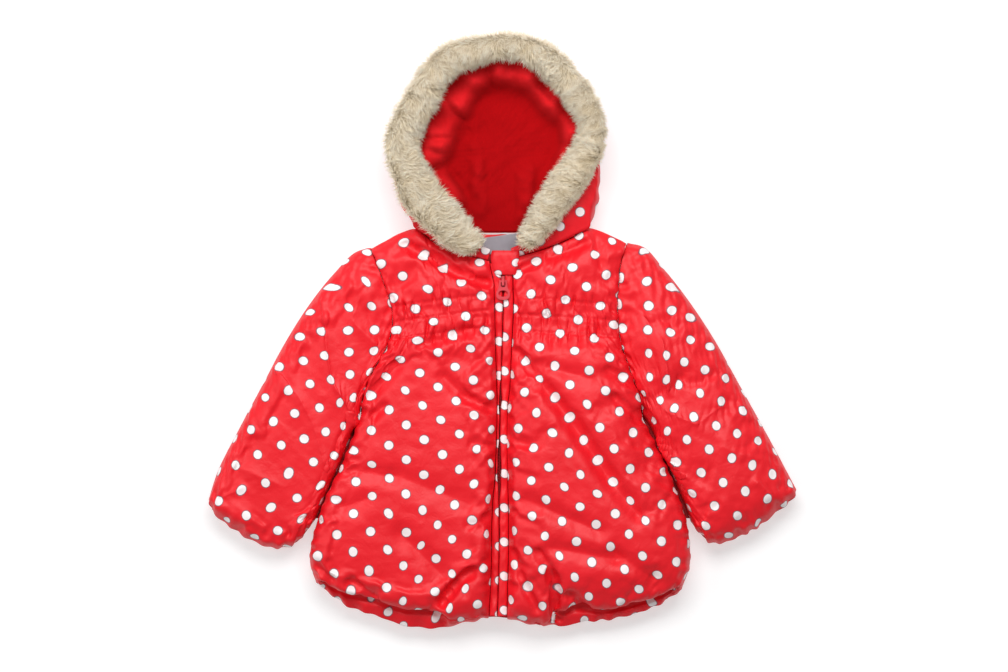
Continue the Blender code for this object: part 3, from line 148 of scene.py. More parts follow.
# Creases laid over the settled cloth, from one point to another
FRONT_FOLDS = [
    # x0,    y0,    x1,    y1,  depth, half-width
    (-92, 80, -64, 66, 3.4, 5),
    (-64, 67, -43, 53, 4, 5),
    (-43, 53, -12, 42, 4.4, 5),
    (-60, 92, -38, 66, 2, 5),
    (-56, -38, -38, -56, 2.2, 6),
    (-38, -57, -6, -74, 3.2, 5),
    (-76, -14, -26, 2, 2.6, 6),
    (-122, -62, -92, -28, 2.6, 7),
    (-120, -78, -104, -66, 2.4, 5),
    (-57, -248, -40, -225, 5.4, 4.6),
    (-40, -225, -26, -215, 4.5, 5),
    (-96, -178, -52, -222, 2.4, 9),
    (-144, -124, -95, -131, 2.2, 8),
    (-150, -160, -118, -150, 2, 8),
    (-100, -128, -24, -158, 1.6, 11),
    (-140, -224, -112, -240, 3.6, 5),
    (-168, -212, -152, -226, 3, 5),
    (-30, -100, -12, -104, 1.8, 4),
    (-34, -176, -13, -168, 1.8, 5),
    (12, -18, 36, -48, 4, 7),
    (36, -48, 60, -78, 4.4, 7),
    (60, -78, 100, -138, 5.2, 8),
    (100, -138, 126, -170, 3.8, 8),
    (30, -30, 84, -44, 2, 7),
    (31, -196, 44, -217, 3.6, 4.8),
    (44, -217, 48, -240, 5.4, 4.8),
    (48, -240, 49, -262, 6.6, 4.8),
    (10, -196, 20, -228, 2.6, 4),
    (20, -228, 32, -254, 3.6, 4),
    (58, -236, 76, -250, 3, 5),
    (16, -150, 92, -182, 2.2, 7),
    (40, -194, 108, -206, 2.2, 7),
    (126, -80, 98, -58, 2.8, 5),
    (118, -46, 92, -34, 2.2, 5),
    (84, 86, 90, 56, 2.4, 6),
    (76, 80, 40, 66, 2.4, 5),
    (10, 52, 34, 66, 3, 5),
    (96, -196, 140, -226, 2.2, 8),
    (8, -96, 26, -104, 2, 4.5),
]
SLEEVE_FOLDS = [
    # x0,     y0,     x1,     y1,   depth, half-width
    (-164, 44, -159, 10, 3, 6),
    (-159, 10, -158, -18, 4, 6),
    (-158, -18, -154, -42, 4.4, 6),
    (-154, -42, -146, -66, 4, 7),
    (-210, -30, -184, -58, 3, 7),
    (-184, -58, -170, -84, 3.4, 7),
    (-170, -84, -158, -128, 3, 7),
    (-124, 38, -137, 10, 2.4, 6),
    (-137, 10, -112, -14, 2, 5),
    (-146, -50, -132, -88, 5, 7),
    (-240, -122, -196, -140, 2, 8),
    (-232, -70, -214, -90, 2, 7),
    (-252, -150, -232, -140, 3, 5),
    (142, -4, 146, -20, 4, 6),
    (146, -20, 150, -58, 4.2, 6),
    (133, -52, 146, -72, 3, 6),
    (146, -72, 178, -86, 3.4, 6),
    (178, -82, 198, -66, 2.4, 6),
    (137, -96, 170, -136, 4.6, 7),
    (112, 24, 148, 2, 2, 7),
    (196, -104, 236, -118, 2, 8),
    (208, -60, 226, -84, 2, 7),
    (242, -150, 226, -134, 3, 5),
    (150, 48, 168, 24, 1.8, 6),
]
# Bunches of fleece that stand up round the face opening
LINING_LOBES = [
    # x0,    y0,    x1,    y1,   top, half-width
    (-64, 158, -56, 188, 40, 15),
    (-50, 196, -42, 214, 43, 17),
    (-37, 222, -20, 236, 44, 17),
    (-14, 241, 8, 241, 43, 18),
    (14, 240, 36, 226, 44, 17),
    (42, 220, 58, 200, 42.5, 17),
    (64, 192, 68, 168, 40, 13),
    (-76, 158, -58, 150, 33, 9),
    (-60, 144, -40, 112, 26, 10),
    (64, 164, 46, 128, 27, 11),
    (-26, 172, -20, 104, 15.4, 8),
    (22, 150, 18, 100, 15.6, 8),
]
LINING_CREASES = [
    # x0,    y0,    x1,    y1,  depth, half-width
    (-14, 238, -9, 220, 9, 5),
    (-54, 216, -47, 199, 8, 5),
    (-47, 199, -33, 189, 8, 5.5),
    (-72, 172, -47, 174, 9, 5),
    (34, 228, 43, 211, 7, 5),
    (43, 211, 64, 200, 8, 5),
    (-66, 148, -38, 136, 5, 5),
    (10, 226, 26, 214, 4, 6),
    (-30, 214, -14, 218, 4, 6),
    (-31, 184, -30, 124, 1.6, 4),
]
LEFT_HEM_STRIP = [(0, 5, 0), (0.2, 6, 0), (0.27, 13, 1), (0.45, 14.5, 1), (0.65, 14, 1), (0.82, 11, 1),
                  (0.95, 6, 0.6), (1, 4, 0)]
RIGHT_HEM_STRIP = [(0, 5, 0), (0.24, 5, 0), (0.3, 12, 1), (0.5, 8.5, 1), (0.75, 9, 1), (0.9, 8, 1),
                   (1, 4, 0)]
SHIRRING_ROWS = (0.805, 0.845, 0.892)
SHIRRING_Y = -8
# Heights of each row of elastic at the placket and at the armhole
SHIRRING = {"front_left": [(4, -8), (19, 8), (33, 22)],
            "front_right": [(0, -5), (15.5, 9), (31, 23)]}
# How far each front's edge swells over its placket, by height
OVERLAP = {"front_left": [(-260, 0.6), (-224, 1.6), (-179, 2.5), (-152, 4), (-134, 5.8), (-98, 6.4), (-62, 6.2),
                          (-14, 4.6), (43, 4), (56, 1.2), (63, 0.2)],
           "front_right": [(-258, 3.4), (-224, 2.7), (-197, 1.8), (-161, 1.2), (-98, 2.2), (-67, 1.8), (-53, 0.2),
                           (21, 0), (37, 0.5), (63, 0)]}

# The print's lattice on each panel: the middle of one dot, and the steps to its two neighbours
PRINT = {
    # panel:        dot,               first step,    second step
    "front_left": ((-102.4, -71.3), (16, -13.3), (16.1, 18.6)),
    "front_right": ((20.1, -55.6), (13.5, -18), (17.5, 13.5)),
    "sleeve_left": ((-178.7, -95.1), (20.9, 6.6), (-7.6, 21.8)),
    "sleeve_right": ((165.8, -96.6), (20.6, -8.6), (7.2, 21)),
    "hood_shell": ((69.8, 107.1), (18, 13), (-13, 18)),
    "back": ((0, -60), (15.9, -15.9), (15.9, 15.9)),
}
# Where gathers and wadding draw the print away from its even lattice
PRINT_DRIFT = {
    "sleeve_left": [
        (-165, -69, -1.4, 0), (-187, -74, -5, 0), (-227, -90, -5.6, -5.6), (-159, -90, -1.8, 0),
        (-199, -103, -3.6, -1.8), (-220, -112, -5.4, -6.5), (-239, -122, -5.2, -13), (-170, -117, 0, 0),
        (-213, -137, -3.2, -9.7), (-254, -154, -5.6, -19), (-184, -150, -1, -6), (-230, -166, -6, -12.5),
        (-202, -180, -4.5, -8.3), (-173, -48, -3, 0), (-214, -60, -4.3, -1), (-155, -44, -4.7, -2.5),
        (-179, -27, 0, 0), (-200, -31, -0.5, 1.6), (-161, -22, -2.3, -2), (-181, -5, 8.6, 2.3),
        (-163, 0, 5.6, -0.7), (-141, 0, 7, -7.4), (-142, 20, 19, -7), (-116, 0, 9, -14), (-138, -19, -1, -5.6),
        (-115, -18, 1, -11), (-138, -39, -7.4, -4), (-118, -38, -4, -10), (-146, -64, -1.8, -2.3),
        (-138, -59, -7.7, -3.6), (-123, 22, 17, -13.5), (-103, 24, 14, -19), (-110, 44, 23, -19),
        (-129, 43, 25, -12)],
    "sleeve_right": [
        (163, -28, -2.5, 0), (200, -42, -3.8, 3.6), (181, -35, -3.6, 1.4), (156, -48, -1.6, 0),
        (197, -63, 0, 1.6), (155, -69, 3.2, -0.5), (172, -77, 0.5, 0), (193, -85, 2, -1), (229, -99, 2.2, 1),
        (166, -98, 0.5, 0), (206, -114, 1.6, -1.6), (157, -117, -2, 0), (198, -136, -1, -1.6),
        (238, -151, -0.7, -3.4), (191, -157, -2.5, -1.8), (230, -173, -2.3, -5.2), (182, -176, -2.7, -1),
        (169, -8, -4.5, 0.5), (152, -1, -1, -2.3), (185, -14, -8.3, 5.2), (152, 19, -10, -2.5),
        (168, 13, -17, 2.4), (150, 39, -23.7, 0), (111, 47, -25, -15), (133, 44, -22, -7), (131, 22, -8, -8),
        (109, 23, -16, -17), (130, 1, 0, -10), (108, 2, -3, -17), (129, -20, 8, -11), (146, -20, 3, -2.6),
        (147, -41, 11, -2.6), (132, -41, 15, -12), (144, -62, 11, -3)],
    "front_left": [
        # x, y, across, up
        (-103, -71, 0, 0), (-54, -111, 0, 0), (-87, -180, 0, 0), (-120, -105, 0, 0),
        (-58, -19, -4, -4), (-26, -44, -4, -2.5), (-45, -4, -7, -7), (-78, 19, -8, -10),
        (-34, 13, -11.5, -8.5), (-39, 43, -16, -9.5), (-90, 48, -21, -12), (-97, 29, -12, -13),
        (-109, 58, -24, -14), (-132, -135, 2.5, 5), (-135, -164, 0.5, 9), (-150, -184, 2, 9),
        (-119, -181, 0, 6.5), (-104, -230, -1, 2), (-60, -205, -5.5, 3.5), (-33, -201, -10, 2),
        (-61, -235, -6, 6), (-29, -170, -5.5, 0), (-20, -250, -16, 2)],
    "front_right": [
        (20, -55, 0, 0), (61, -77, -4, 0), (47, -59, -3, 0), (60, -49, -8, -3), (77, -36, -8.5, -3.5),
        (95, -24, -7.5, -5), (47, -31, -8, -4), (34, -14, -8, -4.5), (40, 15, -6, -5), (67, 10, -8.5, -6),
        (26, 33, -6.5, -5.5), (75, 39, -5, -7.5), (92, 50, -4.5, -11), (83, 67, -1, -10), (39, -152, 0, 3),
        (68, -189, 0.5, 3), (85, -175, 0.5, 4.5), (101, -164, 0, 0), (128, -141, -8, -4.5),
        (114, -124, -8, -5.5), (100, -106, -9.5, -6), (87, -86, -8.5, -5), (86, -115, -6, -2),
        (143, -156, -5.5, -1), (143, -190, -3.5, -1.5), (28, -166, 5.5, 2), (36, -214, 5.5, 4.5),
        (25, -230, 9.5, 2.5), (55, -105, 0, 0)],
}


# ---- curves, patches and grids ----


def norms(steps):
    """The length of each vector."""
    return np.linalg.norm(steps, axis=-1)


def way_along(points):
    """How far each point of a line is from its first, along the line."""
    return np.concatenate([[0], np.cumsum(norms(np.diff(points, axis=0)))])


def smooth_curve(points, knots=None):
    """A smooth curve through points, as a function of its share from 0 to 1."""
    points = np.array(points, float)
    if knots is None:
        knots = way_along(points)
    knots = np.array(knots, float) / knots[-1]
    slopes = np.gradient(points, knots, axis=0)

    def at(share):
        share = np.clip(np.asarray(share, float), 0, 1)
        i = np.clip(np.searchsorted(knots, share, side="right") - 1, 0, len(knots) - 2)
        step = (knots[i + 1] - knots[i])[..., None]
        t = ((share - knots[i])[..., None]) / step
        return ((2 * t**3 - 3 * t**2 + 1) * points[i] + (t**3 - 2 * t**2 + t) * step * slopes[i]
                + (3 * t**2 - 2 * t**3) * points[i + 1] + (t**3 - t**2) * step * slopes[i + 1])

    return at


def joined(*stretches):
    """Outline stretches end to end, without the repeated points between them."""
    points = list(stretches[0])
    for stretch in stretches[1:]:
        points += stretch[1:]
    return points


def patch(bottom, top, left, right):
    """A four-sided plan between boundary curves: a function of (u across, v along)."""
    corners = bottom(0.0), bottom(1.0), top(0.0), top(1.0)

    def at(u, v):
        u, v = np.broadcast_arrays(np.asarray(u, float), np.asarray(v, float))
        a, b = u[..., None], v[..., None]
        ruled = (1 - b) * bottom(u) + b * top(u) + (1 - a) * left(v) + a * right(v)
        flat = ((1 - a) * (1 - b) * corners[0] + a * (1 - b) * corners[1]
                + (1 - a) * b * corners[2] + a * b * corners[3])
        return ruled - flat

    return at


def from_table(table, column=1):
    """A smooth function through one column of a table whose first column is the place."""
    rows = np.array(table, float)
    curve = smooth_curve(rows[:, [column]], rows[:, 0])
    return lambda share: curve(share)[..., 0]


def eased(share):
    """0 to 1 with no corner at either end."""
    t = np.clip(share, 0, 1)
    return t * t * (3 - 2 * t)


def rounded(distance, radius):
    """0 at an edge and 1 from the radius inwards, rising as a quarter circle does."""
    t = np.clip(distance / radius, 0, 1)
    return np.sqrt(1 - (1 - t) ** 2)


def waves(x, y, size, seed, layers=3):
    """Smooth uneven noise from about -1 to 1, with bumps about as wide as the size."""
    picker = np.random.default_rng(seed)
    total = np.zeros(np.broadcast(x, y).shape)
    for layer in range(layers):
        for _ in range(6):
            angle = picker.uniform(0, 2 * math.pi)
            step = 2 * math.pi / (size * picker.uniform(0.8, 1.6) / 1.7**layer)
            total += 0.6**layer * np.sin(step * (x * math.cos(angle) + y * math.sin(angle))
                                         + picker.uniform(0, 2 * math.pi))
    return total / 4


def fold_depth(points, folds, crisp=0.0, power=2):
    """Depth of all the folds of a table at each plan point. A crisp share of it is a sharp crease,
    and a higher power makes the rest flatter in its middle."""
    depth = np.zeros(points.shape[:-1])
    for x0, y0, x1, y1, deep, wide in folds:
        start = np.array([x0, y0])
        along = np.array([x1 - x0, y1 - y0])
        reach = np.linalg.norm(along)
        share = ((points - start) @ along) / reach**2
        near = start + np.clip(share, 0, 1)[..., None] * along
        off = norms(points - near)
        ends = eased((share * reach + wide) / (2 * wide)) * eased(((1 - share) * reach + wide) / (2 * wide))
        crease = np.exp(-off / (0.22 * wide)) if crisp else 0.0
        depth = depth + deep * ends * ((1 - crisp) * np.exp(-((off / wide) ** power)) + crisp * crease)
    return depth


def finer(grid, times, axis, closed=False):
    """The grid with its samples along one axis made so many times closer, on smooth curves."""
    grid = np.moveaxis(grid, axis, 0)
    count = len(grid)
    at = np.arange((count - 1) * times + 1) / times
    i = np.minimum(at.astype(int), count - 2)
    t = (at - i).reshape(-1, *([1] * (grid.ndim - 1)))

    def pick(k):
        if closed:
            return grid[k % (count - 1)]
        return grid[np.clip(k, 0, count - 1)]

    before, here, there, after = pick(i - 1), grid[i], grid[i + 1], pick(i + 2)
    made = 0.5 * (2 * here + (there - before) * t + (2 * before - 5 * here + 4 * there - after) * t**2
                  + (3 * here - before - 3 * there + after) * t**3)
    return np.moveaxis(made, 0, axis)


def normals_of(grid):
    """Unit normals of a grid that lies on a table, on the side that is mostly up."""
    across = np.gradient(grid, axis=1)
    along = np.gradient(grid, axis=0)
    normal = np.cross(across, along)
    if normal[..., 2].sum() < 0:
        normal = -normal
    return normal / np.maximum(norms(normal)[..., None], 1e-9)


def flattened(points, start, rounds=240):
    """Where a grid of cloth would lie if it were unpicked and laid flat, from a first guess."""
    flat = start.copy()
    rows, columns = flat.shape[:2]
    steps = [(0, 1), (1, 0), (1, 1), (1, -1), (0, 2), (2, 0)]
    pairs = []
    for down, over in steps:
        near = (slice(0, rows - down), slice(max(0, -over), columns - max(0, over)))
        far = (slice(down, rows), slice(max(0, over), columns + min(0, over)))
        pairs.append((near, far, norms(points[far] - points[near])))
    for _ in range(rounds):
        move = np.zeros_like(flat)
        for near, far, reach in pairs:
            gap = flat[far] - flat[near]
            length = np.maximum(norms(gap), 1e-6)
            pull = gap * ((length - reach) / length)[..., None]
            move[near] += pull
            move[far] -= pull
        flat += 0.09 * move
    return flat


def drift_at(place, table):
    """How far the print is drawn from its even lattice at each plan point."""
    rows = np.array(table, float)
    gap = place[..., None, :] - rows[:, :2]
    near = 1 / ((gap**2).sum(-1) + 36.0) ** 1.6
    return (near[..., None] * rows[:, 2:]).sum(-2) / near.sum(-1)[..., None]


def on_lattice(plan, lattice):
    """A print's own coordinates of plan points: whole numbers at the middles of its dots."""
    dot, first, second = (np.array(value, float) for value in lattice)
    return (plan - dot) @ np.linalg.inv(np.array([first, second]))


def printed(flat, plan, weight, panel):
    """Lattice coordinates of the print, once the flat cloth is turned to lie over its plan."""
    share = weight[..., None] / weight.sum()
    middle_flat, middle_plan = (flat * share).sum((0, 1)), (plan * share).sum((0, 1))
    a, b = flat - middle_flat, plan - middle_plan
    turn = math.atan2((share[..., 0] * (a[..., 0] * b[..., 1] - a[..., 1] * b[..., 0])).sum(),
                      (share[..., 0] * (a * b).sum(-1)).sum())
    cos, sin = math.cos(turn), math.sin(turn)
    laid = a @ np.array([[cos, sin], [-sin, cos]]) + middle_plan
    if panel in PRINT_DRIFT:
        laid = laid - drift_at(plan, PRINT_DRIFT[panel])
    return on_lattice(laid, PRINT[panel])


# ---- meshes ----


def grid_faces(rows, columns, start=0):
    corner = (np.arange(rows - 1)[:, None] * columns + np.arange(columns - 1)).ravel() + start
    return np.stack([corner, corner + 1, corner + columns + 1, corner + columns], axis=1).tolist()


def grid_edge(rows, columns, start=0):
    """The vertex numbers round a grid's edge, and the place of each: a side for each whole number."""
    bottom = [(0, j, j / (columns - 1)) for j in range(columns - 1)]
    right = [(i, columns - 1, 1 + i / (rows - 1)) for i in range(rows - 1)]
    top = [(rows - 1, j, 2 + (columns - 1 - j) / (columns - 1)) for j in range(columns - 1, 0, -1)]
    left = [(i, 0, 3 + (rows - 1 - i) / (rows - 1)) for i in range(rows - 1, 0, -1)]
    loop = bottom + right + top + left
    return [start + i * columns + j for i, j, _ in loop], [place for _, _, place in loop] + [4.0]


def stitch_loops(first, second, first_at, second_at):
    """Triangles between two closed loops of vertex numbers, whose places round run from 0 up."""
    faces = []
    i = j = 0
    while i < len(first) or j < len(second):
        middle_a = first_at[i] + first_at[i + 1] if i < len(first) else math.inf
        middle_b = second_at[j] + second_at[j + 1] if j < len(second) else math.inf
        a, b = first[i % len(first)], second[j % len(second)]
        if middle_a <= middle_b:
            i += 1
            faces.append((a, first[i % len(first)], b))
        else:
            j += 1
            faces.append((a, second[j % len(second)], b))
    return faces


def loop_faces(first, second):
    """Quads between two closed loops with as many vertices each."""
    count = len(first)
    return [(first[k], first[(k + 1) % count], second[(k + 1) % count], second[k]) for k in range(count)]


def stack_faces(loops):
    """Quads along a stack of closed loops."""
    return [face for near, far in zip(loops, loops[1:]) for face in loop_faces(near, far)]


def capped(points, count):
    """Faces of a closed strip whose points come as cross-sections of so many each."""
    rings = [list(range(start, start + count)) for start in range(0, len(points), count)]
    return [tuple(rings[0]), tuple(reversed(rings[-1])), *stack_faces(rings)]


def make_piece(name, points, faces, materials, prints=None, inside_from=None):
    """A closed piece of points in millimetres, riding on the jacket. Faces from inside_from on take
    the second material, and prints holds each point's lattice coordinates."""
    mesh = bpy.data.meshes.new(name)
    mesh.from_pydata((np.array(points, float) * MM).tolist(), [], faces)
    if prints is not None:
        corners = np.zeros(len(mesh.loops), np.int32)
        mesh.loops.foreach_get("vertex_index", corners)
        layer = mesh.uv_layers.new(name="print")
        layer.data.foreach_set("uv", np.array(prints, np.float32)[corners].ravel())
    if inside_from is not None:
        index = np.zeros(len(mesh.polygons), np.int32)
        index[inside_from:] = 1
        mesh.polygons.foreach_set("material_index", index)
    shape = bmesh.new()
    shape.from_mesh(mesh)
    bmesh.ops.remove_doubles(shape, verts=shape.verts, dist=1e-6)
    bmesh.ops.recalc_face_normals(shape, faces=shape.faces)
    shape.to_mesh(mesh)
    shape.free()
    mesh.shade_smooth()
    piece = bpy.data.objects.new(name, mesh)
    bpy.context.scene.collection.objects.link(piece)
    for material in materials:
        mesh.materials.append(material)
    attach(piece, BODY)
    return piece


def padded(piece, replaced=None):
    """Hides the solid that a padded piece of shell cloth stands for, when one is given, and gives the piece back."""
    if replaced:
        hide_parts(replaced)
    return piece


def settle(points, pins, settings, seed, farthest):
    """A grid of cloth blown up by the wadding behind it, held where pinned, and moved by no more
    than the farthest distance."""
    rows, columns = points.shape[:2]
    mesh = bpy.data.meshes.new("settling cloth")
    start = points.reshape(-1, 3) * MM
    picker = np.random.default_rng(seed)
    start = start + picker.normal(0, 0.00015, start.shape) * (1 - pins.reshape(-1, 1))
    mesh.from_pydata(start.tolist(), [], grid_faces(rows, columns))
    cloth = bpy.data.objects.new("settling cloth", mesh)
    bpy.context.scene.collection.objects.link(cloth)
    group = cloth.vertex_groups.new(name="pinned")
    for index, weight in enumerate(pins.ravel()):
        if weight > 0:
            group.add([index], float(weight), "REPLACE")
    modifier = cloth.modifiers.new("Cloth", "CLOTH")
    for key, value in (("quality", 6), ("mass", 0.15), ("tension_stiffness", 15), ("compression_stiffness", 15),
                       ("shear_stiffness", 6), ("bending_stiffness", 0.8), ("vertex_group_mass", "pinned"),
                       ("pin_stiffness", 1.0), ("use_pressure", True),
                       ("uniform_pressure_force", settings.pressure), ("shrink_min", -settings.slack)):
        setattr(modifier.settings, key, value)
    modifier.settings.effector_weights.gravity = 0
    modifier.collision_settings.use_collision = False
    scene = bpy.context.scene
    modifier.point_cache.frame_start, modifier.point_cache.frame_end = 1, settings.frames
    for number in range(1, settings.frames + 1):
        scene.frame_set(number)
    graph = bpy.context.evaluated_depsgraph_get()
    settled = np.zeros(rows * columns * 3)
    cloth.evaluated_get(graph).data.vertices.foreach_get("co", settled)
    scene.frame_set(1)
    bpy.data.objects.remove(cloth)
    bpy.data.meshes.remove(mesh)
    move = settled.reshape(points.shape) / MM - points
    return points + move * np.minimum(1, farthest / np.maximum(norms(move)[..., None], 1e-6))


# ---- materials ----


def linear(hex_colour):
    """A linear colour with alpha from an sRGB hex value."""
    parts = [int(hex_colour.lstrip("#")[k:k + 2], 16) / 255 for k in (0, 2, 4)]
    return (*[p / 12.92 if p <= 0.04045 else ((p + 0.055) / 1.055) ** 2.4 for p in parts], 1.0)


def new_material(name):
    """An empty Principled material: its tree, its shader and its name."""
    material = bpy.data.materials.new(name)
    material.use_nodes = True
    return material, material.node_tree, material.node_tree.nodes["Principled BSDF"]


def add_node(tree, kind, settings=None, **inputs):
    """Adds a node. Inputs are values or other nodes' outputs, named or numbered as "i0"."""
    node = tree.nodes.new(kind)
    for key, value in (settings or {}).items():
        setattr(node, key, value)
    for key, value in inputs.items():
        index = int(key[1:]) if key[0] == "i" and key[1:].isdigit() else key.replace("_", " ")
        socket = node.inputs[index]
        if isinstance(value, bpy.types.NodeSocket):
            tree.links.new(value, socket)
        else:
            socket.default_value = value
    return node


def set_values(shader, **values):
    """Sets a shader's plain values, with an underscore for each space in a socket's name."""
    for name, value in values.items():
        shader.inputs[name.replace("_", " ")].default_value = value


def shell_cloth(panel, settings):
    """Printed polyester satin: a smooth close weave whose floats give a soft broad sheen, with
    small crinkles where the wadding pulls it."""
    name = "printed polyester satin " + panel
    if name in bpy.data.materials:
        return bpy.data.materials[name]
    material, tree, shader = new_material(name)
    _, first, second = PRINT[panel]
    place = add_node(tree, "ShaderNodeUVMap", {"uv_map": "print"}).outputs[0]
    cell = add_node(tree, "ShaderNodeVectorMath", {"operation": "WRAP"}, i0=place,
                    i1=(0.5, 0.5, 0.5), i2=(-0.5, -0.5, -0.5)).outputs[0]
    steps = (math.hypot(*first), math.hypot(*second), 0.0)
    from_dot = add_node(tree, "ShaderNodeVectorMath", {"operation": "MULTIPLY"}, i0=cell, i1=steps).outputs[0]
    reach = add_node(tree, "ShaderNodeVectorMath", {"operation": "LENGTH"}, i0=from_dot).outputs["Value"]
    coordinates = add_node(tree, "ShaderNodeTexCoord").outputs["Object"]
    ragged = add_node(tree, "ShaderNodeTexNoise", None, Vector=coordinates, Scale=900.0, Detail=1.0).outputs[0]
    reach = add_node(tree, "ShaderNodeMath", {"operation": "MULTIPLY_ADD"}, i0=ragged, i1=0.35, i2=reach).outputs[0]
    radius = settings.dot_diameter / MM / 2 + 0.17
    dot = add_node(tree, "ShaderNodeMapRange", {"interpolation_type": "SMOOTHSTEP"}, Value=reach,
                   From_Min=radius + 0.25, From_Max=radius + 0.75, To_Min=1.0, To_Max=0.0).outputs[0]
    edge = add_node(tree, "ShaderNodeMapRange", {"interpolation_type": "SMOOTHSTEP"}, Value=reach,
                    From_Min=radius - 0.55, From_Max=radius + 0.15).outputs[0]
    tone = add_node(tree, "ShaderNodeTexNoise", None, Vector=coordinates, Scale=26.0, Detail=3.0).outputs[0]
    ground = add_node(tree, "ShaderNodeMix", {"data_type": "RGBA"}, Factor=tone,
                      i6=linear("#DE0E1B"), i7=linear("#EE1A28")).outputs[2]
    white = add_node(tree, "ShaderNodeMix", {"data_type": "RGBA"}, Factor=edge,
                     i6=linear("#F3EAEA"), i7=linear("#7E4654")).outputs[2]
    colour = add_node(tree, "ShaderNodeMix", {"data_type": "RGBA"}, Factor=dot, i6=ground, i7=white).outputs[2]
    tree.links.new(colour, shader.inputs["Base Color"])
    # The weave is drawn at 0.8 mm, ten times its real pitch, so that it shows at all
    weave = add_node(tree, "ShaderNodeTexVoronoi", {"feature": "F1"}, Vector=coordinates, Scale=1300.0).outputs[0]
    crinkle = add_node(tree, "ShaderNodeTexNoise", None, Vector=coordinates, Scale=85.0, Detail=4.0,
                       Roughness=0.55, Distortion=0.6).outputs[0]
    fine = add_node(tree, "ShaderNodeBump", None, Strength=0.10, Distance=0.0002, Height=weave).outputs[0]
    bump = add_node(tree, "ShaderNodeBump", None, Strength=0.5, Distance=0.0016, Height=crinkle,
                    Normal=fine).outputs[0]
    tree.links.new(bump, shader.inputs["Normal"])
    set_values(shader, Roughness=0.47, Specular_IOR_Level=0.34)
    return material


def plain_cloth(name, dark, light, roughness, pile=0.0, scale=1200.0):
    """Plain cloth: taffeta with no pile, or brushed fleece whose pile takes the light at its edges."""
    if name in bpy.data.materials:
        return bpy.data.materials[name]
    material, tree, shader = new_material(name)
    coordinates = add_node(tree, "ShaderNodeTexCoord").outputs["Object"]
    tone = add_node(tree, "ShaderNodeTexNoise", None, Vector=coordinates, Scale=140.0, Detail=4.0).outputs[0]
    colour = add_node(tree, "ShaderNodeMix", {"data_type": "RGBA"}, Factor=tone,
                      i6=linear(dark), i7=linear(light)).outputs[2]
    tree.links.new(colour, shader.inputs["Base Color"])
    grain = add_node(tree, "ShaderNodeTexNoise", None, Vector=coordinates, Scale=scale, Detail=3.0).outputs[0]
    bump = add_node(tree, "ShaderNodeBump", None, Strength=0.25 + 0.4 * pile,
                    Distance=0.0003 + 0.0007 * pile, Height=grain).outputs[0]
    tree.links.new(bump, shader.inputs["Normal"])
    set_values(shader, Roughness=roughness, Sheen_Weight=0.5 * pile, Sheen_Roughness=0.6, Sheen_Tint=linear(light))
    return material


def inside_cloth():
    return plain_cloth("polyester taffeta lining", "#B00A12", "#C60E17", 0.55)


def fleece_with_painted_shade():
    """Brushed fleece with painted shade: its red is deeper low in the hood's hollow, standing in for the shade that
    falls there.
    """
    material = plain_cloth("brushed fleece", "#D4141A", "#E8242B", 0.95, pile=0.12, scale=900.0)
    tree = material.node_tree
    if "deep" not in tree.nodes:
        shader = next(node for node in tree.nodes if node.type == "BSDF_PRINCIPLED")
        bright = shader.inputs["Base Color"].links[0].from_socket
        # Painted shade: the fleece's red darkens from 36 mm down to 12 mm above the floor, for the shade in the hood's
        # hollow
        up = add_node(tree, "ShaderNodeSeparateXYZ", None, i0=add_node(tree, "ShaderNodeTexCoord").outputs["Object"])
        height = add_node(tree, "ShaderNodeMapRange", {"interpolation_type": "SMOOTHSTEP"}, Value=up.outputs[2],
                          From_Min=0.012, From_Max=0.036).outputs[0]
        deep = add_node(tree, "ShaderNodeMix", {"data_type": "RGBA", "name": "deep"}, Factor=height,
                        i6=linear("#A80006"), i7=bright)
        tree.links.new(deep.outputs[2], shader.inputs["Base Color"])
        set_values(shader, Specular_IOR_Level=0.15)
    return material


# ---- fronts ----


def side_places(side, armhole):
    """Shares along a side and armhole, so that rows of elastic meet them at the right height."""
    heights = [y for _, y in joined(side, armhole)]
    return np.interp(heights, [heights[0], SHIRRING_Y, heights[-1]], [0, SHIRRING_ROWS[0], 1])


def underarm(side, armhole):
    """The share of a side and armhole at which the armhole starts."""
    return side_places(side, armhole)[len(side) - 1]


def front_patch(hem, side, armhole, shoulder, neckline, placket):
    """A front's plan: u from the placket to the side, v from the hem to the neck."""
    edge = list(reversed(placket))
    places = [(y - edge[0][1]) / (edge[-1][1] - edge[0][1]) for _, y in edge]
    top = list(reversed(joined(shoulder, neckline)))
    return patch(smooth_curve(hem), smooth_curve(top), smooth_curve(edge, places),
                 smooth_curve(joined(side, armhole), side_places(side, armhole)))


def front_heights(plan, u, v, hem_drop, strip, armhole_from, shoulder_from):
    """Height of a front's upper side, before its folds and pleats."""
    across = norms(plan(1.0, v) - plan(0.0, v))
    along = norms(plan(u, 1.0) - plan(u, 0.0))
    crown = from_table(FRONT_CROWN)(v)
    at_armhole = eased((v - armhole_from + 0.02) / 0.05)
    side_edge = SIDE_EDGE + (ARMHOLE_EDGE - SIDE_EDGE) * at_armhole
    side_edge = side_edge + (HEM_EDGE - side_edge) * (1 - eased(v * along / 35))
    top_edge = NECK_EDGE + (SIDE_EDGE - NECK_EDGE) * eased((u - shoulder_from + 0.03) / 0.06)
    strip_height = HEM_EDGE + 4.5 * np.sin(np.clip(hem_drop / strip[0], 0, 1) * math.pi * 0.55)
    drops = [
        (crown - side_edge) * (1 - rounded((1 - u) * across, 26 - 8 * at_armhole)),
        (crown - PLACKET_EDGE) * (1 - rounded(u * across, 20)),
        (crown - top_edge) * (1 - rounded((1 - v) * along, 20)),
        np.where(hem_drop < strip[0] * strip[1],
                 crown - strip_height,
                 (crown - HEM_EDGE - 4 * strip[1]) * (1 - rounded(hem_drop - strip[0] * strip[1], 24))),
    ]
    total = sum(drop**6 for drop in drops) ** (1 / 6)
    return np.maximum(crown - total, HEM_EDGE)


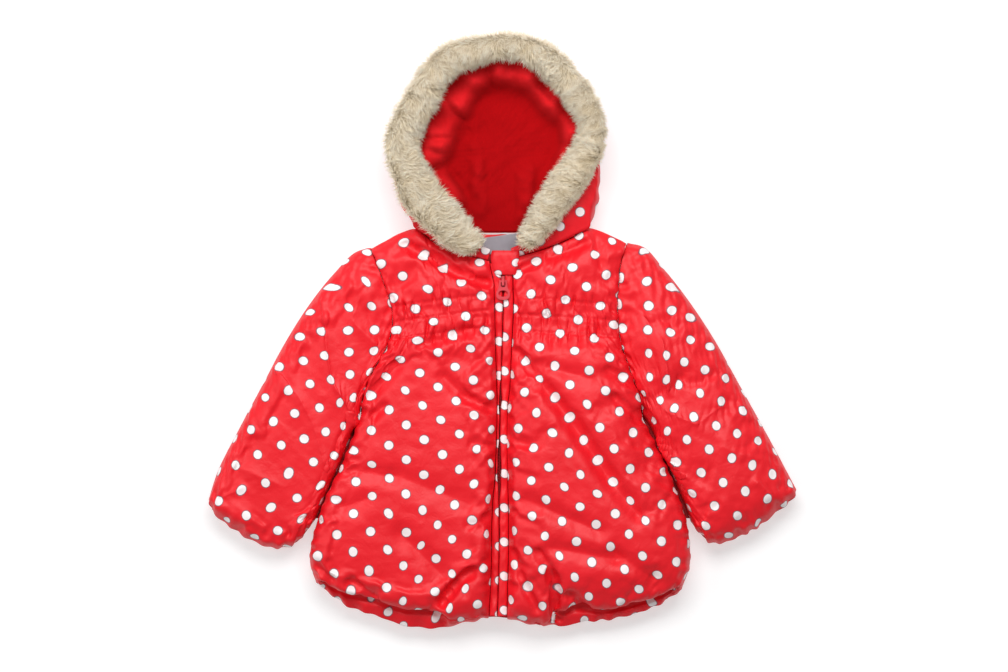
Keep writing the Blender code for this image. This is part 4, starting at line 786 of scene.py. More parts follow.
def off_shirring(u, y, name):
    """Distance of each point above the nearest row of elastic, and above the lowest and highest."""
    rows = [y - (at_placket + (at_side - at_placket) * u) for at_placket, at_side in SHIRRING[name]]
    nearest = np.abs(np.stack(rows)).min(0)
    return nearest, rows[0], rows[-1]


def shirring(u, plan_xy, seed, name):
    """Height of the small uneven pleats between the rows of elastic, and of the dips at the rows."""
    x, y = plan_xy[..., 0], plan_xy[..., 1]
    nearest, low, high = off_shirring(u, y, name)
    turns = (x + 2.2 * waves(x, y, 24.0, seed, 2)) / 8.6 + 0.4 * eased((y - 12) / 6)
    pleat = 2 * np.abs(np.sin(math.pi * turns)) ** 0.55 - 1.4
    uneven = 0.6 + 0.7 * waves(x, y, 26.0, seed + 7, 1)
    band = eased((low + 16) / 16) * eased((12 - high) / 12)
    edges = eased(u / 0.05) * eased((1 - u) / 0.05)
    row = np.exp(-((nearest / 0.9) ** 2)) * eased((low + 4) / 2) * eased((4 - high) / 2)
    return edges * (2.1 * band * uneven * pleat - 1.4 * row)


def gathers(u, off, count, seed, reach, height):
    """Gathers that run in from a hem, cuff or seam."""
    wave = np.cos(2 * math.pi * (count * u + 0.25 * np.sin(7 * u + seed) + 0.1 * np.sin(19 * u + 2 * seed)))
    uneven = 0.65 + 0.35 * np.sin(17 * u + 3 * seed)
    fade = (1 - eased(off / (reach * (0.7 + 0.3 * np.sin(31 * u + seed))))) * eased(u / 0.04) * eased((1 - u) / 0.04)
    return height * wave * uneven * fade


def overlap(name, y):
    """How far a front's edge swells over its placket at a height."""
    rows = np.array(OVERLAP[name], float)
    return np.interp(y, rows[:, 0], rows[:, 1])


class FrontSpec:
    """What makes one front differ from the other."""

    def __init__(self, name, outline, strip, armhole_from, shoulder_from, seed):
        self.name = name
        self.inward = 1 if name == "front_left" else -1
        self.plan = front_patch(*outline)
        self.strip = strip
        self.armhole_from = armhole_from
        self.shoulder_from = shoulder_from
        self.seed = seed


def front_grid(spec):
    """The front's base grid: u, v, distance from the hem, the hem strip's width and setting."""
    columns = 34
    u = np.linspace(0, 1, columns)
    strip_wide = from_table(spec.strip, 1)(u)
    strip_set = np.clip(from_table(spec.strip, 2)(u), 0, 1)
    along = norms(spec.plan(u, 1.0) - spec.plan(u, 0.0))
    near_hem = [0.0 * strip_wide, 0.3 * strip_wide, 0.6 * strip_wide, 0.9 * strip_wide, 1.02 * strip_wide,
                strip_wide + 2.5, strip_wide + 6.5]
    start = near_hem[-1] / along
    v = np.array([drop / along for drop in near_hem]
                 + [start + (1 - start) * share for share in np.linspace(0, 1, 62)[1:]])
    u = np.broadcast_to(u, v.shape)
    return u, v, v * along, (np.broadcast_to(strip_wide, v.shape), np.broadcast_to(strip_set, v.shape))


def dress_front(spec, settings, cloth):
    """A front: crowned, settled over its wadding, creased, pleated and gathered, with its inner side."""
    u, v, drop, strip = front_grid(spec)
    place = spec.plan(u, v)
    height = front_heights(spec.plan, u, v, drop, strip, spec.armhole_from, spec.shoulder_from)
    inner = eased(u / 0.04) * eased((1 - u) / 0.06) * eased((1 - v) / 0.03) * eased(drop / 6)
    base = np.concatenate([place, (height - 0.5 * inner * fold_depth(place, FRONT_FOLDS))[..., None]], axis=-1)

    nearest, low, high = off_shirring(u, place[..., 1], spec.name)
    rows_near = np.exp(-((nearest / 3.0) ** 2)) * eased((low + 6) / 3) * eased((6 - high) / 3)
    pins = np.clip(1 - eased(np.minimum.reduce([u * 16, (1 - u) * 16, (1 - v) * 24, drop / 8])), 0, 1)
    pins = np.maximum(pins, np.where(drop < strip[0] * strip[1] * 1.1, 1.0, 0.0))
    pins = np.maximum(pins, 0.9 * rows_near)
    pins[0] = pins[-1] = 1
    pins[:, 0] = pins[:, -1] = 1
    base = settle(base, pins, settings, int(10 * spec.seed), 5.0)

    flat = flattened(base, place)
    # The edge that swells over the placket is cloth too, so its print is not stretched
    flat[..., 0] += spec.inward * overlap(spec.name, place[..., 1]) * (1 - eased(u * 150 / 22))
    weight = inner * eased(drop / 40)
    lattice = printed(flat, place, weight, spec.name)

    stack = np.concatenate([base, lattice, u[..., None], v[..., None], drop[..., None], strip[0][..., None],
                            strip[1][..., None]], axis=-1)
    stack = finer(finer(stack, 4, 0), 5, 1)
    outer, lattice = stack[..., :3], stack[..., 3:5]
    u, v, drop = stack[..., 5], stack[..., 6], stack[..., 7]
    plan_xy = outer[..., :2]
    x, y = plan_xy[..., 0], plan_xy[..., 1]
    inner = eased(u / 0.03) * eased((1 - u) / 0.04) * eased((1 - v) / 0.02) * eased(drop / 5)
    lift = shirring(u, plan_xy, int(10 * spec.seed), spec.name)
    normal = normals_of(outer)
    push = lift - 1.3 * inner * fold_depth(plan_xy, FRONT_FOLDS, 0.2)
    push = push + inner * 0.35 * waves(x, y, 26.0, int(spec.seed * 31), 3)
    off_strip, strip_set = drop - stack[..., 8] * 1.03, np.clip(stack[..., 9], 0, 1)
    push = push - inner * (np.exp(-((off_strip / 1.8) ** 2)) * strip_set) * 4.6
    push = push + inner * (np.exp(-(((off_strip - 7) / 4.5) ** 2)) * strip_set) * 1.6
    push = push + gathers(u, drop, 9, spec.seed, 26, 1.5)
    # Puckers along the side, armhole and placket seams
    side_off = (1 - u) * 150
    push = push + eased(side_off / 2) * (1 - eased(side_off / 16)) * 0.7 * np.sin(
        0.55 * y + 1.5 * waves(x, y, 40, 5, 1)) * eased(drop / 20)
    zip_off = u * 150
    push = push + eased(zip_off / 2) * (1 - eased(zip_off / 12)) * 0.5 * np.sin(
        0.5 * y + 2 * waves(x, y, 30, 9, 1)) * eased(drop / 20)
    outer = outer + normal * push[..., None]
    # The wadding swells the front's side over its seam, and so closes the gap to the sleeve
    outward = spec.plan(u, v) - spec.plan(u - 0.02, v)
    outward /= np.maximum(norms(outward)[..., None], 1e-9)
    swell = 1.5 * eased(side_off / 1.5) * (1 - eased((side_off - 3) / 9)) * eased(drop / 30)
    outer[..., :2] += outward * swell[..., None]
    outer[..., 0] += spec.inward * overlap(spec.name, outer[..., 1]) * (1 - eased(zip_off / 22))
    under = HEM_UNDER + (FRONT_UNDER - HEM_UNDER) * eased(drop / 35)
    outer[..., 2] = np.maximum(outer[..., 2], under + 1.2)
    outer[..., 2] = np.minimum(outer[..., 2], 54)
    piece = closed_front(spec, outer, lattice, u, v, under, cloth)
    return padded(piece, spec.name)


def closed_front(spec, outer, lattice, u, v, under, cloth):
    """Closes a front's outer grid with a rim and a plain inner side."""
    rows, columns = outer.shape[:2]
    points = outer.reshape(-1, 3).tolist()
    prints = lattice.reshape(-1, 2).tolist()
    loop, places = grid_edge(rows, columns)
    flat_u, flat_v, flat_under = u.ravel(), v.ravel(), under.ravel()
    rim = list(range(len(points), len(points) + len(loop)))
    rim_places = []
    for k, place_round in zip(loop, places):
        points.append([points[k][0], points[k][1], flat_under[k]])
        prints.append(prints[k])
        side = min(int(place_round), 3)
        rim_places.append([flat_u[k], 1 + flat_v[k], 3 - flat_u[k], 4 - flat_v[k]][side])
    faces = grid_faces(rows, columns) + loop_faces(loop, rim)
    inside_from = len(faces)

    plan = spec.plan
    in_columns, in_rows = 16, 30
    a = np.broadcast_to(np.linspace(0, 1, in_columns), (in_rows, in_columns))
    b = np.broadcast_to(np.linspace(0, 1, in_rows)[:, None], (in_rows, in_columns))
    width = norms(plan(1.0, b) - plan(0.0, b))
    length = norms(plan(a, 1.0) - plan(a, 0.0))
    side_set = 9 - 4 * eased((b - spec.armhole_from + 0.04) / 0.08)
    top_set = 4 + 5 * eased((a - spec.shoulder_from + 0.06) / 0.1)
    inner_u = (3.5 + a * (width - 3.5 - side_set)) / width
    inner_v = (6 + b * (length - 6 - top_set)) / length
    inside = plan(inner_u, inner_v)
    edge_off = np.minimum.reduce([a * width, (1 - a) * width, b * length * 1.2, (1 - b) * length])
    dome = np.maximum(from_table(FRONT_CROWN)(inner_v) - PAD - FRONT_UNDER, 0) * eased(edge_off / 42)
    base = HEM_UNDER + 1 + (FRONT_UNDER - HEM_UNDER - 1) * eased(inner_v * length / 40)
    inner_start = len(points)
    points += np.concatenate([inside, (base + dome)[..., None]], axis=-1).reshape(-1, 3).tolist()
    prints += [[0.0, 0.0]] * (in_rows * in_columns)
    inner_loop, inner_places = grid_edge(in_rows, in_columns, inner_start)
    faces += stitch_loops(rim, inner_loop, rim_places + [4.0], inner_places)
    faces += [face[::-1] for face in grid_faces(in_rows, in_columns, inner_start)]
    return make_piece(f"{spec.name}_panel", points, faces, [cloth, inside_cloth()], prints, inside_from)


# ---- sleeves ----


def sleeve_patch(outer, inner, armhole, cuff):
    seam = np.array(list(reversed(armhole)), float)
    away = np.sign(seam[:, 0].mean())
    tangents = np.gradient(seam, axis=0)
    normals = np.stack([-tangents[:, 1], tangents[:, 0]], axis=1)
    normals *= (np.sign(normals[:, 0]) * away)[:, None]
    seam = seam + SLEEVE_GAP * normals / np.linalg.norm(normals, axis=1)[:, None]
    seam[0], seam[-1] = outer[0], inner[0]
    return patch(smooth_curve(seam), smooth_curve(cuff), smooth_curve(outer), smooth_curve(inner))


def sleeve_ring():
    """Places round a sleeve from the middle of its underside: (u, what, how far round the edge)."""
    corner = np.linspace(0, 1, 6)[1:-1]
    ring = [(0.5, "under", 0.0), (0.36, "under", 0.0), (0.22, "under", 0.0), (0.0, "outer", 1.0)]
    ring += [(0.0, "outer", 1 - share) for share in corner]
    ring += [(float(u), "top", 0.0) for u in 0.6 * np.linspace(0, 1, 30)
             + 0.4 * (0.5 - 0.5 * np.cos(np.linspace(0, math.pi, 30)))]
    ring += [(1.0, "inner", float(share)) for share in corner]
    ring += [(1.0, "inner", 1.0), (0.78, "under", 0.0), (0.64, "under", 0.0), (0.5, "under", 0.0)]
    return ring


def dress_sleeve(name, outline, seed, settings, cloth):
    """A sleeve: a padded tube with a flat underside, gathered at the cuff, with its inner tube."""
    plan = sleeve_patch(*outline)
    ring = sleeve_ring()
    rows = 46
    v = np.broadcast_to(np.linspace(0, 1, rows)[:, None], (rows, len(ring)))
    width = norms(plan(1.0, v) - plan(0.0, v))
    kind = [what for _, what, _ in ring]
    turn = np.array([0.5 * math.pi * share for _, _, share in ring])
    u = np.array([place for place, _, _ in ring]) * np.ones_like(v)
    inset = 9.0 * (1 - np.cos(turn))
    is_outer = np.array([what == "outer" for what in kind])
    is_inner = np.array([what == "inner" for what in kind])
    is_top = np.array([what == "top" for what in kind])
    u = np.where(is_outer, inset / width, u)
    u = np.where(is_inner, 1 - inset / width, u)
    lift = 3.0 * eased((v - 0.94) / 0.06)
    low = SLEEVE_EDGE * (1 - np.sin(turn)) + lift * np.sin(turn)
    low = np.where(is_outer | is_inner, low, lift)

    length = norms(plan(u, 1.0) - plan(u, 0.0))
    off_cuff = (1 - v) * length
    crown = from_table(SLEEVE_CROWN)(v)
    drops = [
        (crown - SLEEVE_EDGE) * (1 - rounded(u * width, 0.3 * width)),
        (crown - SLEEVE_EDGE) * (1 - rounded((1 - u) * width, 0.3 * width)),
        (crown - 21) * (1 - rounded(off_cuff, 22)),
        (crown - ARMHOLE_EDGE) * (1 - rounded(v * length, 20)),
    ]
    high = crown - sum(drop**6 for drop in drops) ** (1 / 6)
    place = plan(u, np.where(is_top, v, np.maximum(v, 0.02)))
    inner = np.where(is_top, eased(u / 0.1) * eased((1 - u) / 0.1) * eased(off_cuff / 8), 0)
    high = np.maximum(high - 0.5 * inner * fold_depth(place, SLEEVE_FOLDS), SLEEVE_EDGE)
    base = np.concatenate([place, np.where(is_top, high, low)[..., None]], axis=-1)

    pins = np.where(is_top, 1 - eased(np.minimum.reduce([u * 6, (1 - u) * 6, v * 22, off_cuff / 8])), 1.0)
    pins[0] = pins[-1] = 1
    base = settle(base, pins, settings, int(10 * seed), 4.5)

    around = np.cumsum(norms(np.diff(base, axis=1, prepend=base[:, :1])), axis=1)
    middle = around[:, [len(ring) // 2]]
    axis = plan(0.5, v)
    side = plan(1.0, v) - plan(0.0, v)
    side /= norms(side)[..., None]
    guess = axis + side * (around - middle)[..., None]
    flat = flattened(base, guess, 160)
    lattice = printed(flat, place, np.where(is_top, inner, 0.0), name)

    stack = np.concatenate([base, lattice, u[..., None], v[..., None], off_cuff[..., None],
                            np.broadcast_to(is_top, v.shape)[..., None], width[..., None]], axis=-1)
    stack = finer(stack, 5, 0)
    points3 = finer(stack[..., :3], 4, 1, closed=True)
    rest = finer(stack[..., 3:], 4, 1)
    outer, lattice = points3, rest[..., :2]
    u, v, off_cuff, top, width = (rest[..., k] for k in range(2, 7))
    top = np.clip(top, 0, 1)
    plan_xy = outer[..., :2]
    x, y = plan_xy[..., 0], plan_xy[..., 1]
    inner = top * eased(u / 0.06) * eased((1 - u) / 0.06) * eased(off_cuff / 6) * eased(v / 0.02)
    push = -1.3 * inner * fold_depth(plan_xy, SLEEVE_FOLDS, 0.2)
    push = push + inner * 0.35 * waves(x, y, 26.0, int(seed * 17), 3)
    push = push + top * gathers(u, off_cuff, 9, seed, 30, 1.5)
    push = push + top * eased(v / 0.012) * (1 - eased(v / 0.09)) * 0.7 * np.sin(
        0.5 * y + 2 * waves(x, y, 35, 3, 1))
    outer = outer + normals_of(outer) * push[..., None]
    outer[..., 2] = np.maximum(outer[..., 2], 0.0)
    piece = closed_sleeve(name, plan, outer, lattice, cloth)
    return padded(piece, name)


def closed_sleeve(name, plan, outer, lattice, cloth):
    """Closes a sleeve's outer tube with its inner tube, open at both ends."""
    rows, columns = outer.shape[:2]
    points = outer.reshape(-1, 3).tolist()
    prints = lattice.reshape(-1, 2).tolist()
    faces = grid_faces(rows, columns)
    inside_from = len(faces)
    inner_rings = []
    for v in (0.034, 0.08, 0.14, 0.22, 0.3, 0.4, 0.5, 0.6, 0.7, 0.8, 0.86, 0.92, 0.96, 0.99):
        width = float(np.linalg.norm(plan(1.0, v) - plan(0.0, v)))
        narrow = 11 + 10 * float(eased((v - 0.85) / 0.15))
        floor_u = np.linspace(0.5, (narrow + 1) / width, 5)
        roof_u = np.linspace(narrow / width, 1 - narrow / width, 14)
        crown = float(from_table(SLEEVE_CROWN)(v))
        open_end = max(1 - v * 8, (v - 0.85) / 0.15, 0)
        low = SLEEVE_EDGE + 1 - 2.5 * float(eased((v - 0.85) / 0.14))
        roof = low + (max(crown - PAD - low, 0) * (1 - open_end)) * np.sin(np.linspace(0, math.pi, 14))
        ring = [(*xy, SLEEVE_FLOOR) for xy in plan(floor_u, v)]
        ring += [(*xy, z) for xy, z in zip(plan(roof_u, v), roof)]
        ring += [(*xy, SLEEVE_FLOOR) for xy in plan(1 - floor_u[::-1], v)][:-1]
        inner_rings.append(list(range(len(points), len(points) + len(ring))))
        points += ring
        prints += [[0.0, 0.0]] * len(ring)
    for first, second in zip(inner_rings, inner_rings[1:]):
        faces += loop_faces(second, first)
    for end, inner_ring in ((0, inner_rings[0]), (rows - 1, inner_rings[-1])):
        outer_ring = list(range(end * columns, end * columns + columns - 1))
        faces += stitch_loops(outer_ring, inner_ring, turns_round(points, outer_ring),
                              turns_round(points, inner_ring))
    return make_piece(f"{name}_panel", points, faces, [cloth, inside_cloth()], prints, inside_from)


def turns_round(points, ring):
    """The share of the whole way round at each point of a ring, and 1 at its end."""
    loop = np.array([points[k] for k in ring] + [points[ring[0]]])
    way = way_along(loop)
    return (way / way[-1]).tolist()


# ---- back ----


def length_of(points):
    return float(np.linalg.norm(np.diff(np.array(points, float), axis=0), axis=1).sum())


def back_top():
    """The back's top edge, and its shares at the left and right ends of the neckline."""
    points = joined(LEFT_SHOULDER, BACK_NECKLINE, list(reversed(RIGHT_SHOULDER)))
    whole = length_of(points)
    return smooth_curve(points), length_of(LEFT_SHOULDER) / whole, 1 - length_of(RIGHT_SHOULDER) / whole


def dress_back(settings, cloth):
    """The back panel, flat underneath, with rounded puckered sides up to the seams."""
    hem = smooth_curve(joined(list(reversed(LEFT_HEM)), RIGHT_HEM))
    top, neck_from, neck_to = back_top()
    plan = patch(hem, top, smooth_curve(joined(LEFT_SIDE, LEFT_ARMHOLE), side_places(LEFT_SIDE, LEFT_ARMHOLE)),
                 smooth_curve(joined(RIGHT_SIDE, RIGHT_ARMHOLE), side_places(RIGHT_SIDE, RIGHT_ARMHOLE)))
    armhole_from = {0.0: underarm(LEFT_SIDE, LEFT_ARMHOLE), 1.0: underarm(RIGHT_SIDE, RIGHT_ARMHOLE)}
    per_side, per_end = 100, 90
    top_shares = np.concatenate([np.linspace(0, neck_from, 12),
                                 np.linspace(neck_from + 0.01, neck_to - 0.01, 40),
                                 np.linspace(neck_to, 1, 12)])
    loop = ([(k / per_end, 0.0) for k in range(per_end)] + [(1.0, k / per_side) for k in range(per_side)]
            + [(float(share), 1.0) for share in reversed(top_shares[1:])]
            + [(0.0, 1 - k / per_side) for k in range(per_side)])

    def profile(u, v):
        off_hem = v * float(np.linalg.norm(plan(u, 1.0) - plan(u, 0.0)))
        away = float(eased(off_hem / 35))
        floor = HEM_BACK + (BACK_FLOOR - HEM_BACK) * away
        if v == 0.0:
            seam = 0.0
        elif v == 1.0:
            seam = 0.0 if neck_from < u < neck_to else 1.0
        else:
            seam = away * (1 - float(eased((v - armhole_from[u] + 0.035) / 0.035)))
        rim = floor + (SIDE_SEAM - floor) * seam
        return [(2.5 + 8.5 * seam, 0.0), (1.6 + 5.0 * seam, 0.06 * rim), (1.0 + 3.0 * seam, 0.16 * rim),
                (0.5 + 1.5 * seam, 0.3 * rim), (0.2 + 0.5 * seam, 0.45 * rim), (0.0, 0.6 * rim), (0.0, 0.75 * rim),
                (0.1, 0.9 * rim), (0.1, rim), (0.6 + 8.2 * seam, rim), (1.2 + 8.4 * seam, floor + 0.35 * (rim - floor)),
                (2.4 + 11.6 * seam, floor)]

    profiles = [profile(u, v) for u, v in loop]
    places = np.array(loop)
    width = norms(plan(1.0, places[:, 1]) - plan(0.0, places[:, 1]))
    length = norms(plan(places[:, 0], 1.0) - plan(places[:, 0], 0.0))
    edge = plan(places[:, 0], places[:, 1])
    way = way_along(edge)
    points, prints, loops = [], [], []
    for level in range(len(profiles[0])):
        inset = np.array([steps[level][0] for steps in profiles])
        high = np.array([steps[level][1] for steps in profiles])
        side = 0.6 * np.sin(0.45 * way + np.sin(0.13 * way)) * (1 if 1 <= level <= 6 else 0)
        shift_u, shift_v = (inset + 0.4 + side * 0.5) / width, (inset + 0.4 + side * 0.5) / length
        ring_xy = plan(shift_u + places[:, 0] * (1 - 2 * shift_u), shift_v + places[:, 1] * (1 - 2 * shift_v))
        loops.append(list(range(len(points), len(points) + len(loop))))
        points += np.concatenate([ring_xy, high[:, None]], axis=1).tolist()
        spread = ring_xy * (1 + 0.006 * np.minimum(high, 23))[:, None]
        prints += on_lattice(spread, PRINT["back"]).tolist()
    faces = [loops[0], *stack_faces(loops)]
    inside_from = len(faces)
    faces.append(loops[-1][::-1])
    piece = make_piece("back_panel", points, faces, [cloth, inside_cloth()], prints, inside_from)
    return padded(piece, "back")


# ---- hood ----

WALL, NECK, END = "wall", "neck", "end"


def set_in(places, steps, shrink=0.0):
    """A loop at one level: each outline point moved in and up by the (inset, height) of its kind of
    place, and then by a share of the way to the hood's middle."""
    ring = []
    for xy, kind in places:
        inset, height = steps[kind]
        way = np.array(HOOD_MIDDLE) - xy
        toward = way / np.linalg.norm(way)
        point = xy + inset * (np.array([toward[0], 1.0]) if kind == NECK else toward)
        point = point + shrink * (np.array(HOOD_MIDDLE) - point)
        ring.append((*point, height))
    return ring


def hood_places(count, neck_count, lining=False):
    """Places round the hood: along its wall from the right, and back along the neck."""
    crown = smooth_curve(HOOD_OUTLINE)
    top, neck_from, neck_to = back_top()
    neck_in = 0.05 if lining else 0.0
    ends = 0.0445 if lining else 0.0
    places = []
    for share in np.linspace(0.009, 0.991, count):
        places.append((crown(share), END if min(share, 1 - share) < ends else WALL))
    for share in np.linspace(neck_from + neck_in, neck_to - neck_in, neck_count):
        places.append((top(share) + [0, 0.6], NECK))
    return places


def bowl(name, outside, inside, materials, lattice=None):
    """A closed bowl between two stacks of loops, each ended by a point over the hood's middle."""
    points = [(*HOOD_MIDDLE, outside[0]), (*HOOD_MIDDLE, inside[0])]
    loops = []
    for ring in outside[1] + inside[1]:
        loops.append(list(range(len(points), len(points) + len(ring))))
        points += [tuple(point) for point in ring]
    count, layers = len(loops[0]), len(outside[1])
    faces = stack_faces(loops[:layers + 1])
    faces += [(0, loops[0][(k + 1) % count], loops[0][k]) for k in range(count)]
    inside_from = len(faces)
    faces += stack_faces(loops[layers:])
    faces += [(1, loops[-1][k], loops[-1][(k + 1) % count]) for k in range(count)]
    prints = None
    if lattice is not None:
        flat = np.array(points)
        away = flat[:, :2] - HOOD_MIDDLE
        reach = np.linalg.norm(away, axis=1)[:, None]
        spread = flat[:, :2] + away / np.maximum(reach, 1) * flat[:, 2:3] * 0.9
        prints = on_lattice(spread, lattice)
    return make_piece(name, points, faces, materials, prints, inside_from)


def dress_hood_shell(cloth):
    """The hood's padded outside, with a rolled rim and puckers under the fur."""
    places = hood_places(150, 40)
    way = np.cumsum([0.0] + [float(np.linalg.norm(b[0] - a[0])) for a, b in zip(places, places[1:])])
    steps = ((14, 0, 9, 0), (9, 0.8, 6, 0), (5, 2.5, 3, 0), (2.4, 6, 1, 0.5), (0.8, 10, 0, 1), (0.1, 15, 0, 2),
             (0, 20, 0, 3), (0.6, 25, 0, 4), (2, 30, 0, 5), (3.8, 34, 0, 6), (6.5, HOOD_RIM, 0, 7))
    outside = [set_in(places, {WALL: (14 + 0.2 * (164 - 14) * k, 0.0), NECK: (9 + 25 * k, 0.0)})
               for k in (2.2, 1.0)]
    outside += [set_in(places, {WALL: step[:2], NECK: step[2:]}) for step in steps]
    rows = []
    for level, ring in enumerate(outside):
        high = level - 2
        made = []
        for k, (x, y, z) in enumerate(ring):
            is_wall = places[k][1] == WALL and 2 <= high <= 10
            pucker = 0.0
            if is_wall:
                pucker = 0.9 * math.sin(0.30 * way[k] + 0.8 * math.sin(0.05 * way[k])) * (high / 10)
                pucker -= 1.6 * math.exp(-(((way[k] % 61) - 30) / 5) ** 2)
                pucker -= 0.9 * math.exp(-(((way[k] + 17) % 43 - 20) / 3.5) ** 2) * (1 - high / 12)
            to = np.array(HOOD_MIDDLE) - (x, y)
            to = to / np.linalg.norm(to)
            made.append((x - to[0] * (pucker - 0.4), y - to[1] * (pucker - 0.4), z))
        rows.append(made)
    inside = [set_in(places, {WALL: wall, NECK: neck}) for wall, neck in (
        ((13, HOOD_RIM), (0.8, HOOD_FLOOR)), ((12, 24), (3, HOOD_FLOOR)),
        ((15, 13), (7, HOOD_FLOOR)), ((22, HOOD_FLOOR), (12, HOOD_FLOOR)))]
    piece = bowl("hood_shell_panel", (0.0, rows), (HOOD_FLOOR, inside), [cloth, inside_cloth()],
                 PRINT["hood_shell"])
    return padded(piece, "hood_shell")


def lobed(xy, z, share):
    """Heights of the fleece, raised towards the tops of its bunches."""
    for x0, y0, x1, y1, top, wide in LINING_LOBES:
        weight = share * fold_depth(xy, [(x0, y0, x1, y1, 1.0, wide)], 0.0, 4)
        z = z + np.maximum(top + 1.2 * waves(xy[:, 0], xy[:, 1], 18, 61, 2) - z, 0) * weight
    return z - share * fold_depth(xy, LINING_CREASES, 0.25)


def dress_lining():
    """The fleece lining, with the soft bunches and hollows of cloth a little too big for the hood."""
    floor = HOOD_FLOOR + 0.3
    top = floor + 2.8
    rim = HOOD_RIM - 0.5
    places = hood_places(170, 44, lining=True)
    hidden = [set_in(places, {WALL: wall, NECK: (neck, floor), END: (end, floor)})
              for wall, neck, end in (((23, floor), 12.8, 25), ((15.9, 13.6), 7.8, 24.4),
                                      ((12.7, 24.2), 3.8, 23.8), ((13.7, rim), 1.5, 23.2))]
    levels = [((17, rim), 1.5, 23.2, 0), ((16.6, 31), 2.8, 23.5, 0), ((16.5, 27), 4, 23.8, 0),
              ((17.6, 22.5), 6, 24.2, 0), ((19, 18), 8, 24.6, 0), ((22, 14), 10.5, 25.3, 0),
              ((26, top + 0.8), 13, 26, 0)]
    levels += [((26, top), 13, 26, shrink) for shrink in np.linspace(0.04, 0.96, 34)]
    shown = []
    for level, (wall, neck, end, shrink) in enumerate(levels):
        ring = set_in(places, {WALL: wall, NECK: (neck, top), END: (end, top)}, shrink)
        xy = np.array([point[:2] for point in ring])
        share, raised = float(eased(level / 6)), min(1.0, 0.5 * level)
        small = share * (1.5 * waves(xy[:, 0], xy[:, 1], 34, 23, 2) + 0.5 * waves(xy[:, 0], xy[:, 1], 9, 41, 2))
        low_neck = eased((xy[:, 1] - 92) / 18)
        high = lobed(xy, np.array([point[2] for point in ring]), raised) + low_neck * small
        shown.append([(x, y, max(up, floor + 1.2) if level else z) for (x, y, z), up in zip(ring, high)])
    middle = float(lobed(np.array([HOOD_MIDDLE]), np.array([top]), 1.0)[0])
    piece = bowl("hood_fleece", (floor, hidden), (middle, shown), [fleece_with_painted_shade(), fleece_with_painted_shade()])
    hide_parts("hood_lining")
    return piece


def neck_edge_places(neckline, widths, count):
    """The hood's lower front edge: seam points, the way out from the seam, widths and heights."""
    curve = smooth_curve(neckline)
    shares = np.linspace(0.2, 0.985, count)
    seam = curve(shares)
    along = curve(np.clip(shares + 0.01, 0, 1)) - curve(shares - 0.01)
    normal = np.stack([-along[:, 1], along[:, 0]], axis=1)
    normal /= np.linalg.norm(normal, axis=1)[:, None]
    normal *= np.sign(normal[:, 1])[:, None]
    table = np.array(widths, float)
    return seam, normal, np.interp(shares, table[:, 0], table[:, 1]), np.interp(shares, table[:, 0], table[:, 2])


def dress_hood_edge(name, neckline, widths, cloth):
    """A lower front edge of the hood, puckered where it is sewn to the neckline."""
    seam, normal, wide, high = neck_edge_places(neckline, widths, 60)
    way = way_along(seam)
    across = [(0.0, -1.6, 0), (0.08, -0.7, 0.3), (0.25, 0.0, 1), (0.45, 0.3, 1), (0.65, 0.4, 1),
              (0.85, 0.2, 0.6), (0.97, -0.3, 0.2), (1.0, -1.2, 0)]
    points, prints = [], []
    for k in range(len(seam)):
        ring = [(0.0, FRONT_UNDER + 1.2)]
        pucker = 0.8 * math.sin(0.42 * way[k] + 1.5 * math.sin(0.11 * way[k]))
        ring += [(share, high[k] + lift + free * pucker) for share, lift, free in across]
        ring.append((1.0, FRONT_UNDER + 2))
        for share, z in ring:
            xy = seam[k] + normal[k] * (0.7 + share * wide[k])
            points.append((*xy, z))
            prints.append(on_lattice(xy, PRINT["hood_shell"]).tolist())
    piece = make_piece(f"{name}_band", points, capped(points, len(across) + 2), [cloth], prints)
    return padded(piece, name)


def dress_hood_side(name, side, cloth):
    """The hood's cloth between its wall, the neckline and the fur, drawn tight over the rim."""
    neckline, outline = (LEFT_NECKLINE, HOOD_OUTLINE[::-1]) if side < 0 else (RIGHT_NECKLINE, HOOD_OUTLINE)
    edge = smooth_curve([tuple(smooth_curve(neckline)(share)) for share in (0.72, 0.6, 0.45, 0.3, 0.15, 0.04)]
                        + [(x, y) for x, y in outline[1:6]])
    fur = smooth_curve([row[:2] for row in (FUR[1:7] if side < 0 else FUR[-2:-8:-1])])
    count, rows = 70, 16
    t = np.linspace(0, 1, count)
    outer, inner = edge(t), fur(t)
    over_rim = eased((outer[:, 1] - 93) / 12)
    corner = np.exp(-((outer[:, 1] - 94) / 5) ** 2)
    way = way_along(outer)
    grids = []
    for thick in (0.0, 1.4):
        grid = np.zeros((rows, count, 3))
        for k, s in enumerate(np.linspace(0, 1, rows)):
            inset = 1.5 + 5.5 * over_rim - 2.2 * corner
            toward = inner - outer
            reach = np.linalg.norm(toward, axis=1)
            share = (inset + s * (reach - inset)) / reach
            grid[k, :, :2] = outer + toward * share[:, None]
            start = 34.6 + 2.0 * over_rim - 0.8 * corner
            crown = 2.2 * math.sin(math.pi * min(s * 1.15, 1))
            pucker = 0.6 * np.sin(0.5 * way + 2 * np.sin(0.07 * way)) * (1 - s)
            grid[k, :, 2] = start + (41.0 - start) * eased(s * 0.9) + crown + pucker - thick
        grids.append(grid)
    size = rows * count
    points = np.concatenate([grids[0].reshape(-1, 3), grids[1].reshape(-1, 3)])
    top_loop, _ = grid_edge(rows, count)
    bottom_loop, _ = grid_edge(rows, count, size)
    faces = grid_faces(rows, count) + [face[::-1] for face in grid_faces(rows, count, size)]
    faces += loop_faces(top_loop, bottom_loop)
    piece = make_piece(name, points, faces, [cloth], on_lattice(points[:, :2], PRINT["hood_shell"]))
    return padded(piece)


